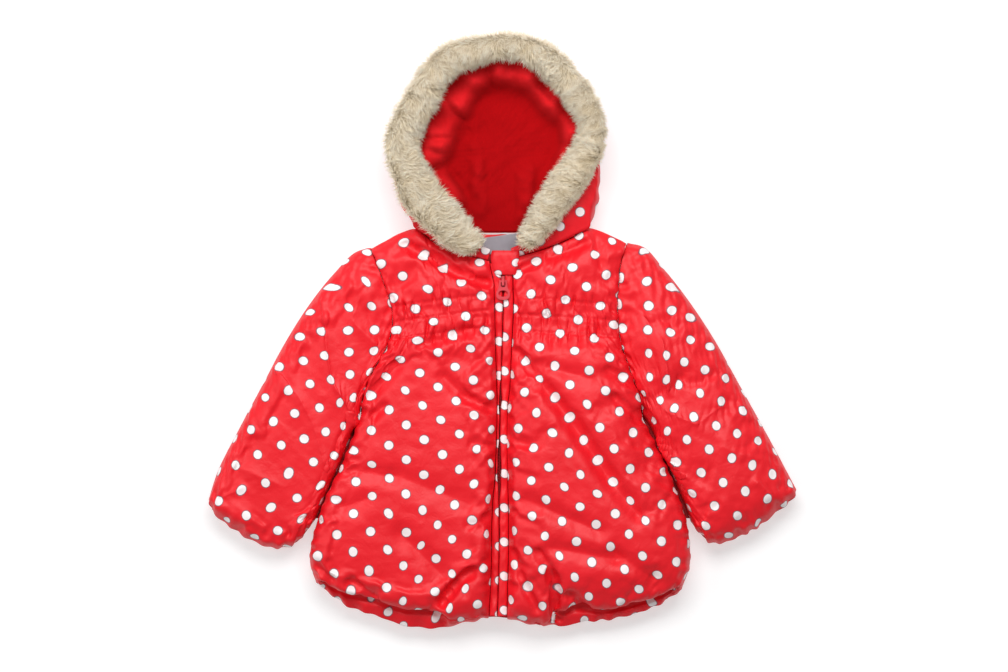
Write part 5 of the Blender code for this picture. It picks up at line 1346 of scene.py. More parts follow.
def seam_in_painted_shade(name, sections):
    """A strip of seam cloth deep in the gap at a seam, its dark red partly the cloth's own and partly painted shade for
    the gap.
    """
    # Painted shade: the strip's red is much darker than the shell's, for the shade deep in the gap
    piece = strip(name, sections, [plain_cloth("overlocked seam edge", "#7E070D", "#980A12", 0.85, pile=0.2)])
    return piece


def dress_side_seam(name, side_line, sleeve_line):
    """The back's seam cloth, seen deep in the gap between a front's side and the sleeve beside it, darkened as painted
    shade.
    """
    lines = [np.array(sorted((y, x) for x, y in line), float) for line in (side_line, sleeve_line)]
    sections = []
    for y in np.linspace(-169.0, -77.0, 50):
        near, far = (float(np.interp(y, line[:, 0], line[:, 1])) for line in lines)
        out = math.copysign(0.3, far)
        near, far = near - out, far + out
        high = 19.0 + 0.4 * math.sin(0.5 * y)
        sections.append([(near, y, 4.0), (near, y, high), (far, y, high), (far, y, 4.0)])
    return seam_in_painted_shade(name, sections)


def dress_armhole_seam(name, armhole, side):
    """The sewn edge deep between a front and its sleeve, darkened as painted shade."""
    line = smooth_curve(armhole)(np.linspace(0.0, 0.97, 60))
    out = np.gradient(line, axis=0)
    out = np.stack([-out[:, 1], out[:, 0]], axis=1)
    out *= (np.sign(out[:, 0]) * side)[:, None]
    out /= np.linalg.norm(out, axis=1)[:, None]
    sections = []
    for xy, way in zip(line, out):
        near, far = xy + 0.1 * way, xy + 0.7 * way
        sections.append([(*near, 4.0), (*near, 21.0), (*far, 21.0), (*far, 4.0)])
    return seam_in_painted_shade(name, sections)


# ---- fur ----


def fur_stations(count):
    """Rows of the roll's middle line, its directions along and out, and how full it is."""
    line = smooth_curve(np.array(FUR, float))
    shares = 0.5 - 0.5 * np.cos(np.linspace(0, math.pi, count))
    shares = 0.12 * shares + 0.88 * np.linspace(0, 1, count)
    rows = line(shares)
    along = line(np.clip(shares + 0.004, 0, 1))[:, :2] - line(np.clip(shares - 0.004, 0, 1))[:, :2]
    along /= np.linalg.norm(along, axis=1)[:, None]
    ends = rounded(np.minimum(shares, 1 - shares) + 0.0012, 0.018)
    return rows, along, ends, shares


def roll_grid(count, angles, pile):
    """Points of the roll under the pile, its outward normals and the way the hair is combed."""
    rows, along, ends, shares = fur_stations(count)
    side = np.stack([-along[:, 1], along[:, 0]], axis=1)
    cos, sin = np.cos(angles), np.sin(angles)
    wide = np.maximum(rows[:, 3] - pile, 1.0) * ends
    high = np.maximum(rows[:, 4] - pile, 1.0) * ends
    # Underneath, where it is sewn to the rim, the roll has next to no pile
    under = np.maximum(rows[:, 4] - 0.8, 1.0) * ends / high
    flat = np.where(sin < 0, under[:, None], 1.0)
    lump = 1 + 0.05 * waves(shares[:, None] * 700, angles * 12, 26, 77, 2)
    grid = np.zeros((count, len(angles), 3))
    grid[..., :2] = rows[:, None, :2] + side[:, None] * (wide[:, None] * cos * lump)[..., None]
    grid[..., 2] = rows[:, None, 2] + high[:, None] * flat * sin * lump
    normal = np.zeros_like(grid)
    normal[..., :2] = side[:, None] * (cos / wide[:, None])[..., None]
    normal[..., 2] = sin / high[:, None]
    normal /= norms(normal)[..., None]
    # The pile is combed over the roll from its outer side to its inner side, and down the hood
    comb = np.zeros_like(grid)
    comb[..., :2] = side[:, None] * (-wide[:, None] * sin)[..., None]
    comb[..., 2] = high[:, None] * cos
    comb /= norms(comb)[..., None]
    comb = 0.8 * comb + np.array([0.0, -0.5, 0.0])
    comb -= (comb * normal).sum(-1, keepdims=True) * normal
    comb /= np.maximum(norms(comb)[..., None], 0.5)
    x, y = grid[..., 0], grid[..., 1]
    turn = 0.75 * waves(x, y, 22, 301, 2) + 0.3 * waves(x, y, 9, 302, 2)
    turned = comb * np.cos(turn)[..., None] + np.cross(normal, comb) * np.sin(turn)[..., None]
    lift = 0.2 + 0.08 * waves(x, y, 12, 303, 2) + 0.3 * np.clip(-cos - 0.5, 0, 1) - 0.08 * np.clip(cos, 0, 1)
    lie = turned + normal * lift[..., None]
    tone = 0.5 + 0.5 * waves(x + 2 * grid[..., 2], y, 16, 304, 3)
    return grid, lie / norms(lie)[..., None], tone, normal


def strand_mesh(length, width):
    """One hair lock: a tapering three-sided strand with a slight bend, and its share from root to tip."""
    points, share_along = [], []
    levels = [(0.0, 0.9), (0.55, 0.92)]
    for share, thick in levels:
        for k in range(3):
            angle = 2 * math.pi * k / 3
            points.append((0.5 * width * thick * math.cos(angle) + 0.22 * length * share**2,
                           0.5 * width * thick * math.sin(angle) + 0.05 * length * math.sin(5 * share),
                           length * (share - 0.12 * share**3)))
            share_along.append(share)
    points.append((0.25 * length, 0.0, 0.9 * length))
    share_along.append(1.0)
    faces = [(2, 1, 0)]
    for level in range(len(levels) - 1):
        near = [3 * level + k for k in range(3)]
        faces += loop_faces(near, [k + 3 for k in near])
    top = 3 * (len(levels) - 1)
    faces += [(top + k, top + (k + 1) % 3, top + 3) for k in range(3)]
    mesh = bpy.data.meshes.new("fur strand")
    mesh.from_pydata((np.array(points) * MM).tolist(), [], faces)
    mesh.shade_smooth()
    layer = mesh.attributes.new("along", "FLOAT", "POINT")
    layer.data.foreach_set("value", share_along)
    return bpy.data.objects.new("fur strand", mesh)


def new_tree(name, inputs):
    """An empty Geometry Nodes tree with its inputs, each a name, a socket type and a default."""
    tree = bpy.data.node_groups.new(name, "GeometryNodeTree")
    tree.interface.new_socket("Geometry", in_out="INPUT", socket_type="NodeSocketGeometry")
    tree.interface.new_socket("Geometry", in_out="OUTPUT", socket_type="NodeSocketGeometry")
    for label, kind, default in inputs:
        socket = tree.interface.new_socket(label, in_out="INPUT", socket_type=kind)
        if default is not None:
            socket.default_value = default
    return tree, add_node(tree, "NodeGroupInput"), add_node(tree, "NodeGroupOutput")


def grow(base, tree, values, name):
    """Runs a Geometry Nodes tree on a helper object and gives its result as a plain mesh object."""
    modifier = base.modifiers.new(tree.name, "NODES")
    modifier.node_group = tree
    for item in tree.interface.items_tree:
        if item.in_out == "INPUT" and item.name in values:
            modifier[item.identifier] = values[item.name]
    base.update_tag()
    bpy.context.view_layer.update()
    graph = bpy.context.evaluated_depsgraph_get()
    mesh = bpy.data.meshes.new_from_object(base.evaluated_get(graph), preserve_all_data_layers=True,
                                           depsgraph=graph)
    mesh.name = name
    base.modifiers.remove(modifier)
    piece = bpy.data.objects.new(name, mesh)
    bpy.context.scene.collection.objects.link(piece)
    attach(piece, BODY)
    return piece


def fur_tree():
    """Strands scattered over a surface, each leaning the way the surface's hair is combed."""
    tree, given, made = new_tree("fur pile", [
        ("Strand", "NodeSocketObject", None), ("Strands per m2", "NodeSocketFloat", 1.0e6),
        ("Shortest", "NodeSocketFloat", 0.7), ("Longest", "NodeSocketFloat", 1.2),
        ("Spread", "NodeSocketFloat", 0.17), ("Seed", "NodeSocketInt", 1),
        ("Material", "NodeSocketMaterial", None)])
    scatter = add_node(tree, "GeometryNodeDistributePointsOnFaces", {"distribute_method": "RANDOM"},
                       Mesh=given.outputs["Geometry"], Density=given.outputs["Strands per m2"],
                       Seed=given.outputs["Seed"])
    lie = add_node(tree, "GeometryNodeInputNamedAttribute", {"data_type": "FLOAT_VECTOR"}, Name="lie").outputs[0]
    spread = add_node(tree, "ShaderNodeVectorMath", {"operation": "SCALE"}, i0=(1.0, 1.0, 1.0),
                      Scale=given.outputs["Spread"]).outputs[0]
    back = add_node(tree, "ShaderNodeVectorMath", {"operation": "SCALE"}, i0=spread, Scale=-1.0).outputs[0]
    stray = add_node(tree, "FunctionNodeRandomValue", {"data_type": "FLOAT_VECTOR"}, i0=back, i1=spread).outputs[0]
    way = add_node(tree, "ShaderNodeVectorMath", {"operation": "ADD"}, i0=lie, i1=stray).outputs[0]
    turned = add_node(tree, "FunctionNodeAlignRotationToVector", {"axis": "Z"}, Vector=way).outputs[0]
    roll = add_node(tree, "FunctionNodeRandomValue", {"data_type": "FLOAT"}, i2=-3.14, i3=3.14)
    twist = add_node(tree, "FunctionNodeAxisAngleToRotation", None, Axis=(0.0, 0.0, 1.0),
                     Angle=roll.outputs[1]).outputs[0]
    rotation = add_node(tree, "FunctionNodeRotateRotation", {"rotation_space": "LOCAL"},
                        Rotation=turned, Rotate_By=twist).outputs[0]
    size = add_node(tree, "FunctionNodeRandomValue", {"data_type": "FLOAT"},
                    i2=given.outputs["Shortest"], i3=given.outputs["Longest"]).outputs[1]
    strand = add_node(tree, "GeometryNodeObjectInfo", None, Object=given.outputs["Strand"]).outputs["Geometry"]
    hairs = add_node(tree, "GeometryNodeInstanceOnPoints", None, Points=scatter.outputs["Points"],
                     Instance=strand, Rotation=rotation, Scale=size).outputs[0]
    own = add_node(tree, "FunctionNodeRandomValue", {"data_type": "FLOAT"}, i2=0.0, i3=1.0).outputs[1]
    kept = add_node(tree, "GeometryNodeStoreNamedAttribute", {"data_type": "FLOAT", "domain": "INSTANCE"},
                    Geometry=hairs, Name="strand", Value=own).outputs[0]
    real = add_node(tree, "GeometryNodeRealizeInstances", None, Geometry=kept).outputs[0]
    done = add_node(tree, "GeometryNodeSetMaterial", None, Geometry=real,
                    Material=given.outputs["Material"]).outputs[0]
    tree.links.new(done, made.inputs[0])
    return tree


def fur_pile():
    """Long acrylic pile: fine hair that scatters light, pale at the tips and browner at the roots, with a faint painted
    glow.
    """
    name = "acrylic fur pile"
    if name in bpy.data.materials:
        return bpy.data.materials[name]
    material, tree, shader = new_material(name)
    along = add_node(tree, "ShaderNodeAttribute", {"attribute_name": "along"}).outputs["Fac"]
    strand = add_node(tree, "ShaderNodeAttribute", {"attribute_name": "strand"}).outputs["Fac"]
    tone = add_node(tree, "ShaderNodeAttribute", {"attribute_name": "tone"}).outputs["Fac"]
    pale = add_node(tree, "ShaderNodeMix", {"data_type": "RGBA"}, Factor=strand,
                    i6=linear("#FAE6C4"), i7=linear("#FFF4DC")).outputs[2]
    brown = add_node(tree, "ShaderNodeMix", {"data_type": "RGBA"}, Factor=strand,
                     i6=linear("#D8BE90"), i7=linear("#EDD6AE")).outputs[2]
    patch_tone = add_node(tree, "ShaderNodeMapRange", None, Value=tone, From_Min=0.2, From_Max=0.9,
                          To_Min=-0.25, To_Max=0.2).outputs[0]
    share = add_node(tree, "ShaderNodeMath", {"operation": "ADD", "use_clamp": True}, i0=along,
                     i1=patch_tone).outputs[0]
    colour = add_node(tree, "ShaderNodeMix", {"data_type": "RGBA"}, Factor=share, i6=brown, i7=pale).outputs[2]
    tree.links.new(colour, shader.inputs["Base Color"])
    # Hair passes light on to its neighbours, so that the pile is shaded more as the roll than as hairs
    roll = add_node(tree, "ShaderNodeAttribute", {"attribute_name": "ground"}).outputs["Vector"]
    own = add_node(tree, "ShaderNodeNewGeometry").outputs["Normal"]
    blend = add_node(tree, "ShaderNodeMix", {"data_type": "VECTOR"}, Factor=0.6, i4=own, i5=roll).outputs[1]
    lit = add_node(tree, "ShaderNodeVectorMath", {"operation": "ADD"}, i0=blend, i1=(0.0, 0.15, 0.7)).outputs[0]
    even = add_node(tree, "ShaderNodeVectorMath", {"operation": "NORMALIZE"}, i0=lit).outputs[0]
    tree.links.new(even, shader.inputs["Normal"])
    set_values(shader, Subsurface_Weight=0.25, Subsurface_Radius=(1.0, 0.9, 0.7), Subsurface_Scale=0.002)
    # Painted light: the pile glows faintly in its own colour, in place of the light that real hairs pass on through
    # them
    tree.links.new(colour, shader.inputs["Emission Color"])
    set_values(shader, Emission_Strength=0.11, Roughness=0.62, Specular_IOR_Level=0.3, Sheen_Weight=0.3,
               Sheen_Roughness=0.5)
    return material


def dress_fur(settings):
    """The fur trim: a knitted roll, and the pile that grows from it in four lengths."""
    pile = 4.6
    ground = plain_cloth("knitted fur ground", "#DCC6A0", "#ECD9B6", 0.95, pile=0.5, scale=700.0)
    count, round_count = 150, 26
    angles = 2 * math.pi * np.arange(round_count) / round_count
    grid, _, _, _ = roll_grid(count, angles, pile)
    points = grid.reshape(-1, 3)
    roll = make_piece("fur_ground", points, capped(points, round_count), [ground])
    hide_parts("fur_trim")

    strand = strand_mesh(settings.pile_length / MM, 0.56)
    tree = fur_tree()
    material = fur_pile()
    angles = np.radians(np.linspace(-58, 238, 30))
    grid, lie, tone, ground_normal = roll_grid(161, angles, pile)
    pieces = []
    for number, start in enumerate(range(0, 160, 40)):
        part = slice(start, start + 41)
        mesh = bpy.data.meshes.new("combed ground")
        mesh.from_pydata((grid[part].reshape(-1, 3) * MM).tolist(), [], grid_faces(41, len(angles)))
        mesh.attributes.new("lie", "FLOAT_VECTOR", "POINT").data.foreach_set("vector", lie[part].ravel())
        mesh.attributes.new("ground", "FLOAT_VECTOR", "POINT").data.foreach_set(
            "vector", ground_normal[part].ravel())
        mesh.attributes.new("tone", "FLOAT", "POINT").data.foreach_set("value", tone[part].ravel())
        base = bpy.data.objects.new("combed ground", mesh)
        bpy.context.scene.collection.objects.link(base)
        density = settings.strands_per_cm2 * 1e4 * 1.0
        piece = grow(base, tree, {"Strand": strand, "Strands per m2": density, "Seed": number + 3,
                                  "Material": material}, f"fur_pile_{number + 1}")
        bpy.data.objects.remove(base)
        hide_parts("fur_trim")
        pieces.append(piece)
    bpy.data.objects.remove(strand)
    return pieces


# ---- zip ----

ZIP_BOTTOM, SLIDER_Y, TEETH_WIDTH, PLACKET_LOW, PLACKET_TOP = -257.0, 45.0, 4.6, 27.0, 31.0
LEFT_EDGE_WIDTHS = [(0.2, 3, 32.6), (0.4, 9, 33.6), (0.7, 13, 33.0), (0.84, 11.5, 31.2), (1.0, 9.5, 31.0)]
RIGHT_EDGE_WIDTHS = [(0.2, 3, 32.6), (0.4, 8, 33.6), (0.66, 12, 33.0), (0.74, 11, 31.2), (1.0, 9, 31.0)]


def zip_x(y):
    """Where the zip's middle line is at a height up the jacket."""
    rows = np.array(ZIP_LINE, float)
    heights = rows[:, 1] - rows[0, 1]
    return float(smooth_curve(rows[:, [0]], heights)((y - rows[0, 1]) / heights[-1])[0])


def placket_x(table, y):
    rows = sorted((height, x) for x, height in table)
    return float(np.interp(y, [row[0] for row in rows], [row[1] for row in rows]))


def strip(name, sections, materials, lattice=None):
    """A strip lofted through cross-sections, each a list of points."""
    points = [point for section in sections for point in section]
    faces = capped(points, len(sections[0]))
    prints = None if lattice is None else on_lattice(np.array(points)[:, :2], lattice)
    return make_piece(name, points, faces, materials, prints)


PLACKET_PRINT = {-1: ((-2.8, -71.0), (15.4, -15.4), (15.4, 15.4)), 1: ((1.6, -66.8), (15.4, -15.4), (15.4, 15.4))}


def dress_placket(name, edge_table, side, cloth):
    """A folded strip beside the zip, padded a little, puckered along its stitching."""
    sections = []
    for y in np.concatenate([np.linspace(ZIP_BOTTOM, 22, 230), np.linspace(23.5, 61, 40)]):
        over_slider = math.exp(-(((y - SLIDER_Y) / 8.5) ** 4))
        parted = (1.5 * over_slider + 0.9 * math.exp(-(((y + 62) / 11) ** 2))
                  + 1.1 * math.exp(-(((y + 124) / 20) ** 4)) + 0.3 * math.sin(0.037 * y + side))
        middle = zip_x(y) + side * max(0.3, 0.4 + parted + 0.2 * math.sin(0.31 * y + 2 * side))
        low = PLACKET_LOW + 2.5 * over_slider
        over = float(overlap("front_left" if side < 0 else "front_right", y))
        edge = placket_x(edge_table, y) - side * (0.5 + over)
        swell = 0.6 * math.sin(0.055 * y + 1.3 * side) + 0.55 * math.sin(0.24 * y + 1.2 * math.sin(0.05 * y + side))
        high = PLACKET_TOP + 0.7 * over_slider + swell * (1 - 0.8 * over_slider)
        lean = edge - middle
        crumple = 0.35 * math.sin(0.5 * y + 2.0 * math.sin(0.08 * y + 2 * side))
        profile = [(0.0, low), (-0.02, 0.5 * (low + high)), (0.02, high - 0.9), (0.1, high - 0.2),
                   (0.22, high + 0.1), (0.38, high + crumple), (0.55, high - 0.1 + crumple), (0.72, high - 0.3),
                   (0.84, high - 0.9 - 0.4 * crumple), (0.93, high - 1.3), (1.0, high - 2.0), (1.0, low)]
        sections.append([(middle + share * lean, y, z) for share, z in profile])
    piece = strip(f"{name}_strip", sections, [cloth], PLACKET_PRINT[side])
    return padded(piece, name)


def dress_tape(name, edge_table, side):
    """A woven zip tape, whose edge shows in the gap between the plackets."""
    tape = plain_cloth("woven polyester zip tape", "#8E0910", "#A80D15", 0.8, pile=0.2, scale=1500.0)
    sections = []
    for y in np.linspace(ZIP_BOTTOM, 60, 80):
        inner = zip_x(y) + side * (TEETH_WIDTH / 2 + 0.4)
        edge = placket_x(edge_table, y) - side * 0.5
        low = 23.7 + 0.1 * math.sin(0.2 * y)
        sections.append([(inner, y, low), (inner, y, low + 1.0), (edge, y, low + 1.0), (edge, y, low)])
    piece = strip(f"{name}_weave", sections, [tape])
    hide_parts(name)
    return piece


def zip_plastic():
    """Injection-moulded acetal: smooth and slightly waxy, with soft highlights along each tooth."""
    name = "moulded acetal zip teeth"
    if name in bpy.data.materials:
        return bpy.data.materials[name]
    material, tree, shader = new_material(name)
    coordinates = add_node(tree, "ShaderNodeTexCoord").outputs["Object"]
    tone = add_node(tree, "ShaderNodeTexNoise", None, Vector=coordinates, Scale=300.0, Detail=2.0).outputs[0]
    colour = add_node(tree, "ShaderNodeMix", {"data_type": "RGBA"}, Factor=tone,
                      i6=linear("#9E0A12"), i7=linear("#BC0F19")).outputs[2]
    tree.links.new(colour, shader.inputs["Base Color"])
    set_values(shader, Roughness=0.36)
    return material


def painted_metal():
    """Die-cast zinc with baked red paint: glossy, with an uneven orange-peel skin."""
    name = "painted die-cast zinc"
    if name in bpy.data.materials:
        return bpy.data.materials[name]
    material, tree, shader = new_material(name)
    coordinates = add_node(tree, "ShaderNodeTexCoord").outputs["Object"]
    tone = add_node(tree, "ShaderNodeTexNoise", None, Vector=coordinates, Scale=220.0, Detail=3.0).outputs[0]
    colour = add_node(tree, "ShaderNodeMix", {"data_type": "RGBA"}, Factor=tone,
                      i6=linear("#C9303B"), i7=linear("#DE4650")).outputs[2]
    tree.links.new(colour, shader.inputs["Base Color"])
    skin = add_node(tree, "ShaderNodeTexNoise", None, Vector=coordinates, Scale=900.0, Detail=1.0).outputs[0]
    bump = add_node(tree, "ShaderNodeBump", None, Strength=0.15, Distance=0.0002, Height=skin).outputs[0]
    tree.links.new(bump, shader.inputs["Normal"])
    set_values(shader, Roughness=0.3, Coat_Weight=0.3)
    return material


def tooth_tree():
    """Teeth along a line, each turned to the other side of the one before."""
    tree, given, made = new_tree("zip teeth", [
        ("Tooth", "NodeSocketObject", None), ("Pitch", "NodeSocketFloat", 0.0013),
        ("Material", "NodeSocketMaterial", None)])
    curve = add_node(tree, "GeometryNodeMeshToCurve", None, Mesh=given.outputs["Geometry"]).outputs[0]
    points = add_node(tree, "GeometryNodeCurveToPoints", {"mode": "LENGTH"}, Curve=curve,
                      Length=given.outputs["Pitch"])
    number = add_node(tree, "GeometryNodeInputIndex").outputs[0]
    odd = add_node(tree, "ShaderNodeMath", {"operation": "MODULO"}, i0=number, i1=2.0).outputs[0]
    half_turn = add_node(tree, "ShaderNodeMath", {"operation": "MULTIPLY"}, i0=odd, i1=math.pi).outputs[0]
    turn = add_node(tree, "FunctionNodeAxisAngleToRotation", None, Axis=(0.0, 0.0, 1.0), Angle=half_turn).outputs[0]
    tooth = add_node(tree, "GeometryNodeObjectInfo", None, Object=given.outputs["Tooth"]).outputs["Geometry"]
    row = add_node(tree, "GeometryNodeInstanceOnPoints", None, Points=points.outputs[0], Instance=tooth,
                   Rotation=turn).outputs[0]
    real = add_node(tree, "GeometryNodeRealizeInstances", None, Geometry=row).outputs[0]
    done = add_node(tree, "GeometryNodeSetMaterial", None, Geometry=real,
                    Material=given.outputs["Material"]).outputs[0]
    tree.links.new(done, made.inputs[0])
    return tree


def line_object(points, name="guide line"):
    mesh = bpy.data.meshes.new(name)
    mesh.from_pydata((np.array(points, float) * MM).tolist(), [(k, k + 1) for k in range(len(points) - 1)], [])
    guide = bpy.data.objects.new(name, mesh)
    bpy.context.scene.collection.objects.link(guide)
    return guide


def rounded_block(name, size, place, bevel):
    """A helper block in millimetres with rounded edges."""
    shape = bmesh.new()
    bmesh.ops.create_cube(shape, size=1.0)
    bmesh.ops.scale(shape, vec=[MM * side for side in size], verts=shape.verts)
    bmesh.ops.translate(shape, vec=[MM * value for value in place], verts=shape.verts)
    bmesh.ops.bevel(shape, geom=shape.edges[:], offset=MM * bevel, segments=1, affect="EDGES")
    mesh = bpy.data.meshes.new(name)
    shape.to_mesh(mesh)
    shape.free()
    return bpy.data.objects.new(name, mesh)


def dress_teeth(settings):
    """The closed row of moulded teeth, up to the slider."""
    tooth = rounded_block("tooth", (2.9, 1.05, 2.2), (-0.75, 0.0, 25.1), 0.28)
    guide = line_object([(zip_x(y), y, 0.0) for y in np.linspace(ZIP_BOTTOM + 0.8, SLIDER_Y - 1, 120)])
    piece = grow(guide, tooth_tree(), {"Tooth": tooth, "Pitch": settings.tooth_pitch, "Material": zip_plastic()},
                 "zip_teeth_row")
    bpy.data.objects.remove(guide)
    bpy.data.objects.remove(tooth)
    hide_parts("zip_teeth")
    return piece


def dress_chin_guard(cloth):
    """The plain folded guard over the zip's top end, rounded at its fold."""
    table = np.array([(50.6, -5.6, 11.6, 32.2, 33.4), (53.5, -7.6, 12.6, 32.3, 34.0), (60.0, -9.6, 13.8, 32.4, 34.5),
                      (66.0, -10.6, 15.0, 32.6, 34.8), (70.0, -10.2, 15.4, 32.6, 34.6),
                      (72.5, -9.2, 14.8, 32.4, 33.9)])
    rows = smooth_curve(table, table[:, 0] - table[0, 0])(np.linspace(0, 1, 30))
    sections = []
    for y, left, right, low, high in rows:
        span = right - left
        round_off = max(0.0, 1 - ((y - 61.5) / 11.2) ** 6)
        top = low + 0.3 + (high - low - 0.3) * (0.35 + 0.65 * round_off)
        section = [(left, y, low)]
        for share in np.linspace(0.0, 1.0, 17):
            edge = rounded(min(share, 1 - share) * span, 2.6)
            ripple = 0.25 * math.sin(0.8 * (left + share * span) + 0.3 * y)
            section.append((left + (0.01 + 0.98 * share) * span, y,
                            low + 0.2 + (top - low + ripple * edge) * float(edge)))
        section.append((right, y, low))
        sections.append(section)
    piece = strip("chin_guard_fold", sections, [cloth], ((12.2, 61.6), (-16.7, -10.4), (10.4, -16.7)))
    return padded(piece, "chin_guard")


def dress_label():
    """The bare neck label, woven, a little bowed and creased, its light grey darkened as painted shade for the shadow
    it lies in.
    """
    # Painted shade: the label's grey is darker than the cloth's own light grey, for the shade at the back of the neck
    cloth = plain_cloth("woven satin label", "#8E8A92", "#A5A1A8", 0.6, pile=0.1, scale=1600.0)
    wide, deep, turn = 35.0, 15.5, math.radians(8.0)
    centre = (-3.6, 78.2)
    sections = []
    for across in np.linspace(-0.5, 0.5, 50):
        section = []
        ups = np.linspace(-0.5, 0.5, 16)
        for up, base in [(up, 0.4) for up in ups] + [(up, 1.1) for up in reversed(ups)]:
            a, b = across * wide, up * deep
            bow = 0.5 * math.cos(math.pi * across) + 0.35 * math.sin(5 * across + 3 * up) * (0.5 + up) + 0.3
            section.append((centre[0] + a * math.cos(turn) - b * math.sin(turn),
                            centre[1] + a * math.sin(turn) + b * math.cos(turn), BACK_FLOOR + base + bow))
        sections.append(section)
    piece = strip("neck_label_weave", sections, [cloth])
    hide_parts("neck_label")
    return piece


# ---- stage ----


def add_light(name, place, aim, size, power, colour="#FFFFFF"):
    data = bpy.data.lights.new(name, "AREA")
    data.shape = "RECTANGLE"
    data.size, data.size_y = size
    data.energy = power
    data.color = linear(colour)[:3]
    light = bpy.data.objects.new(name, data)
    light.location = place
    light.rotation_euler = (Vector(aim) - Vector(place)).to_track_quat("-Z", "Y").to_euler()
    bpy.context.scene.collection.objects.link(light)


def set_stage(settings):
    """Pale floor, one broad soft light from above the hood, fill from the world, and the camera."""
    material, tree, shader = new_material("backlit opal sheet")
    coordinates = add_node(tree, "ShaderNodeTexCoord").outputs["Object"]
    tone = add_node(tree, "ShaderNodeTexNoise", None, Vector=coordinates, Scale=3.0, Detail=2.0).outputs[0]
    colour = add_node(tree, "ShaderNodeMix", {"data_type": "RGBA"}, Factor=tone,
                      i6=linear("#BEBEBE"), i7=linear("#C1C1C1")).outputs[2]
    tree.links.new(colour, shader.inputs["Base Color"])
    set_values(shader, Roughness=0.95, Specular_IOR_Level=0.0)
    # Faintly lit from below, as a light table is, so that shadows stay pale
    set_values(shader, Emission_Color=(1, 1, 1, 1), Emission_Strength=0.54)
    mesh = bpy.data.meshes.new("floor")
    mesh.from_pydata([(-3, -3, 0), (3, -3, 0), (3, 3, 0), (-3, 3, 0)], [], [(0, 1, 2, 3)])
    floor = bpy.data.objects.new("floor", mesh)
    floor.location = (0, 0, -0.0004)
    mesh.materials.append(material)
    bpy.context.scene.collection.objects.link(floor)

    world = bpy.data.worlds.new("studio")
    world.use_nodes = True
    world.node_tree.nodes["Background"].inputs["Color"].default_value = (1, 1, 1, 1)
    world.node_tree.nodes["Background"].inputs["Strength"].default_value = settings.fill_light
    bpy.context.scene.world = world
    add_light("top softbox", (0.05, 0.88, 1.58), (0, 0.0, 0), (1.3, 0.8), settings.key_light)
    add_light("left softbox", (-1.3, 0.2, 1.2), (0, 0, 0), (0.9, 0.9), settings.key_light * 0.25)

    data = bpy.data.cameras.new("camera")
    data.lens = 236.7
    data.sensor_width = 36
    data.clip_end = 50
    camera = bpy.data.objects.new("camera", data)
    camera.location = (0.00135, -0.0045, 6.0)
    bpy.context.scene.collection.objects.link(camera)
    bpy.context.scene.camera = camera
    bpy.context.scene.view_settings.view_transform = "Standard"
    bpy.context.scene.view_settings.look = "None"


# ---- the add-on ----


class JacketSettings(bpy.types.PropertyGroup):
    dot_diameter: FloatProperty(name="Dot diameter", description="Width of a printed dot", default=0.0084,
                                unit="LENGTH", subtype="DISTANCE")
    pressure: FloatProperty(name="Wadding pressure", description="How hard the wadding fills the cloth",
                            default=4.0, min=0)
    slack: FloatProperty(name="Slack", description="Share by which the cloth is wider than its wadding",
                         default=0.02, min=0, max=0.3)
    frames: IntProperty(name="Settling frames", description="Steps that the cloth settles for", default=18, min=1)
    pile_length: FloatProperty(name="Pile length", description="Length of the fur's hair", default=0.0108,
                               unit="LENGTH", subtype="DISTANCE")
    strands_per_cm2: FloatProperty(name="Strands per cm2", description="How close the fur grows", default=165.0)
    tooth_pitch: FloatProperty(name="Tooth pitch", description="From one zip tooth to the next", default=0.0014,
                               unit="LENGTH", subtype="DISTANCE")
    lining_area: FloatProperty(name="Lining area", description="Flat area of the hood lining in m2",
                               default=0.036)
    fill_light: FloatProperty(name="Fill light", description="Strength of the world's light", default=0.32, min=0)
    key_light: FloatProperty(name="Key light", description="Power of the large softbox in W", default=29.0, min=0)


def settings_of(context):
    return context.scene.padded_jacket


class JACKET_OT_fronts(bpy.types.Operator):
    """Make the two padded fronts with their shirring and bubble hems"""

    bl_idname = "jacket.fronts"
    bl_label = "Fronts"

    def execute(self, context):
        settings = settings_of(context)
        for name, outline, strip_table, shoulder, seed in (
                ("front_left", (LEFT_HEM, LEFT_SIDE, LEFT_ARMHOLE, LEFT_SHOULDER, LEFT_NECKLINE, LEFT_PLACKET),
                 LEFT_HEM_STRIP, 0.66, 0.4),
                ("front_right", (RIGHT_HEM, RIGHT_SIDE, RIGHT_ARMHOLE, RIGHT_SHOULDER, RIGHT_NECKLINE,
                                 RIGHT_PLACKET), RIGHT_HEM_STRIP, 0.68, 1.7)):
            spec = FrontSpec(name, outline, strip_table, underarm(outline[1], outline[2]), shoulder, seed)
            dress_front(spec, settings, shell_cloth(name, settings))
        return {"FINISHED"}


class JACKET_OT_sleeves(bpy.types.Operator):
    """Make the two padded sleeves with their gathered cuffs"""

    bl_idname = "jacket.sleeves"
    bl_label = "Sleeves"

    def execute(self, context):
        settings = settings_of(context)
        for name, outline, seed in (
                ("sleeve_left", (LEFT_SLEEVE_OUTER, LEFT_SLEEVE_INNER, LEFT_ARMHOLE, LEFT_CUFF), 0.6),
                ("sleeve_right", (RIGHT_SLEEVE_OUTER, RIGHT_SLEEVE_INNER, RIGHT_ARMHOLE, RIGHT_CUFF), 2.1)):
            dress_sleeve(name, outline, seed, settings, shell_cloth(name, settings))
        dress_side_seam("side_seam_left", LEFT_SIDE, LEFT_SLEEVE_INNER)
        dress_side_seam("side_seam_right", RIGHT_SIDE, RIGHT_SLEEVE_INNER)
        dress_armhole_seam("armhole_seam_left", LEFT_ARMHOLE, -1)
        dress_armhole_seam("armhole_seam_right", RIGHT_ARMHOLE, 1)
        return {"FINISHED"}


class JACKET_OT_back(bpy.types.Operator):
    """Make the padded back"""

    bl_idname = "jacket.back"
    bl_label = "Back"

    def execute(self, context):
        settings = settings_of(context)
        dress_back(settings, shell_cloth("back", settings))
        return {"FINISHED"}


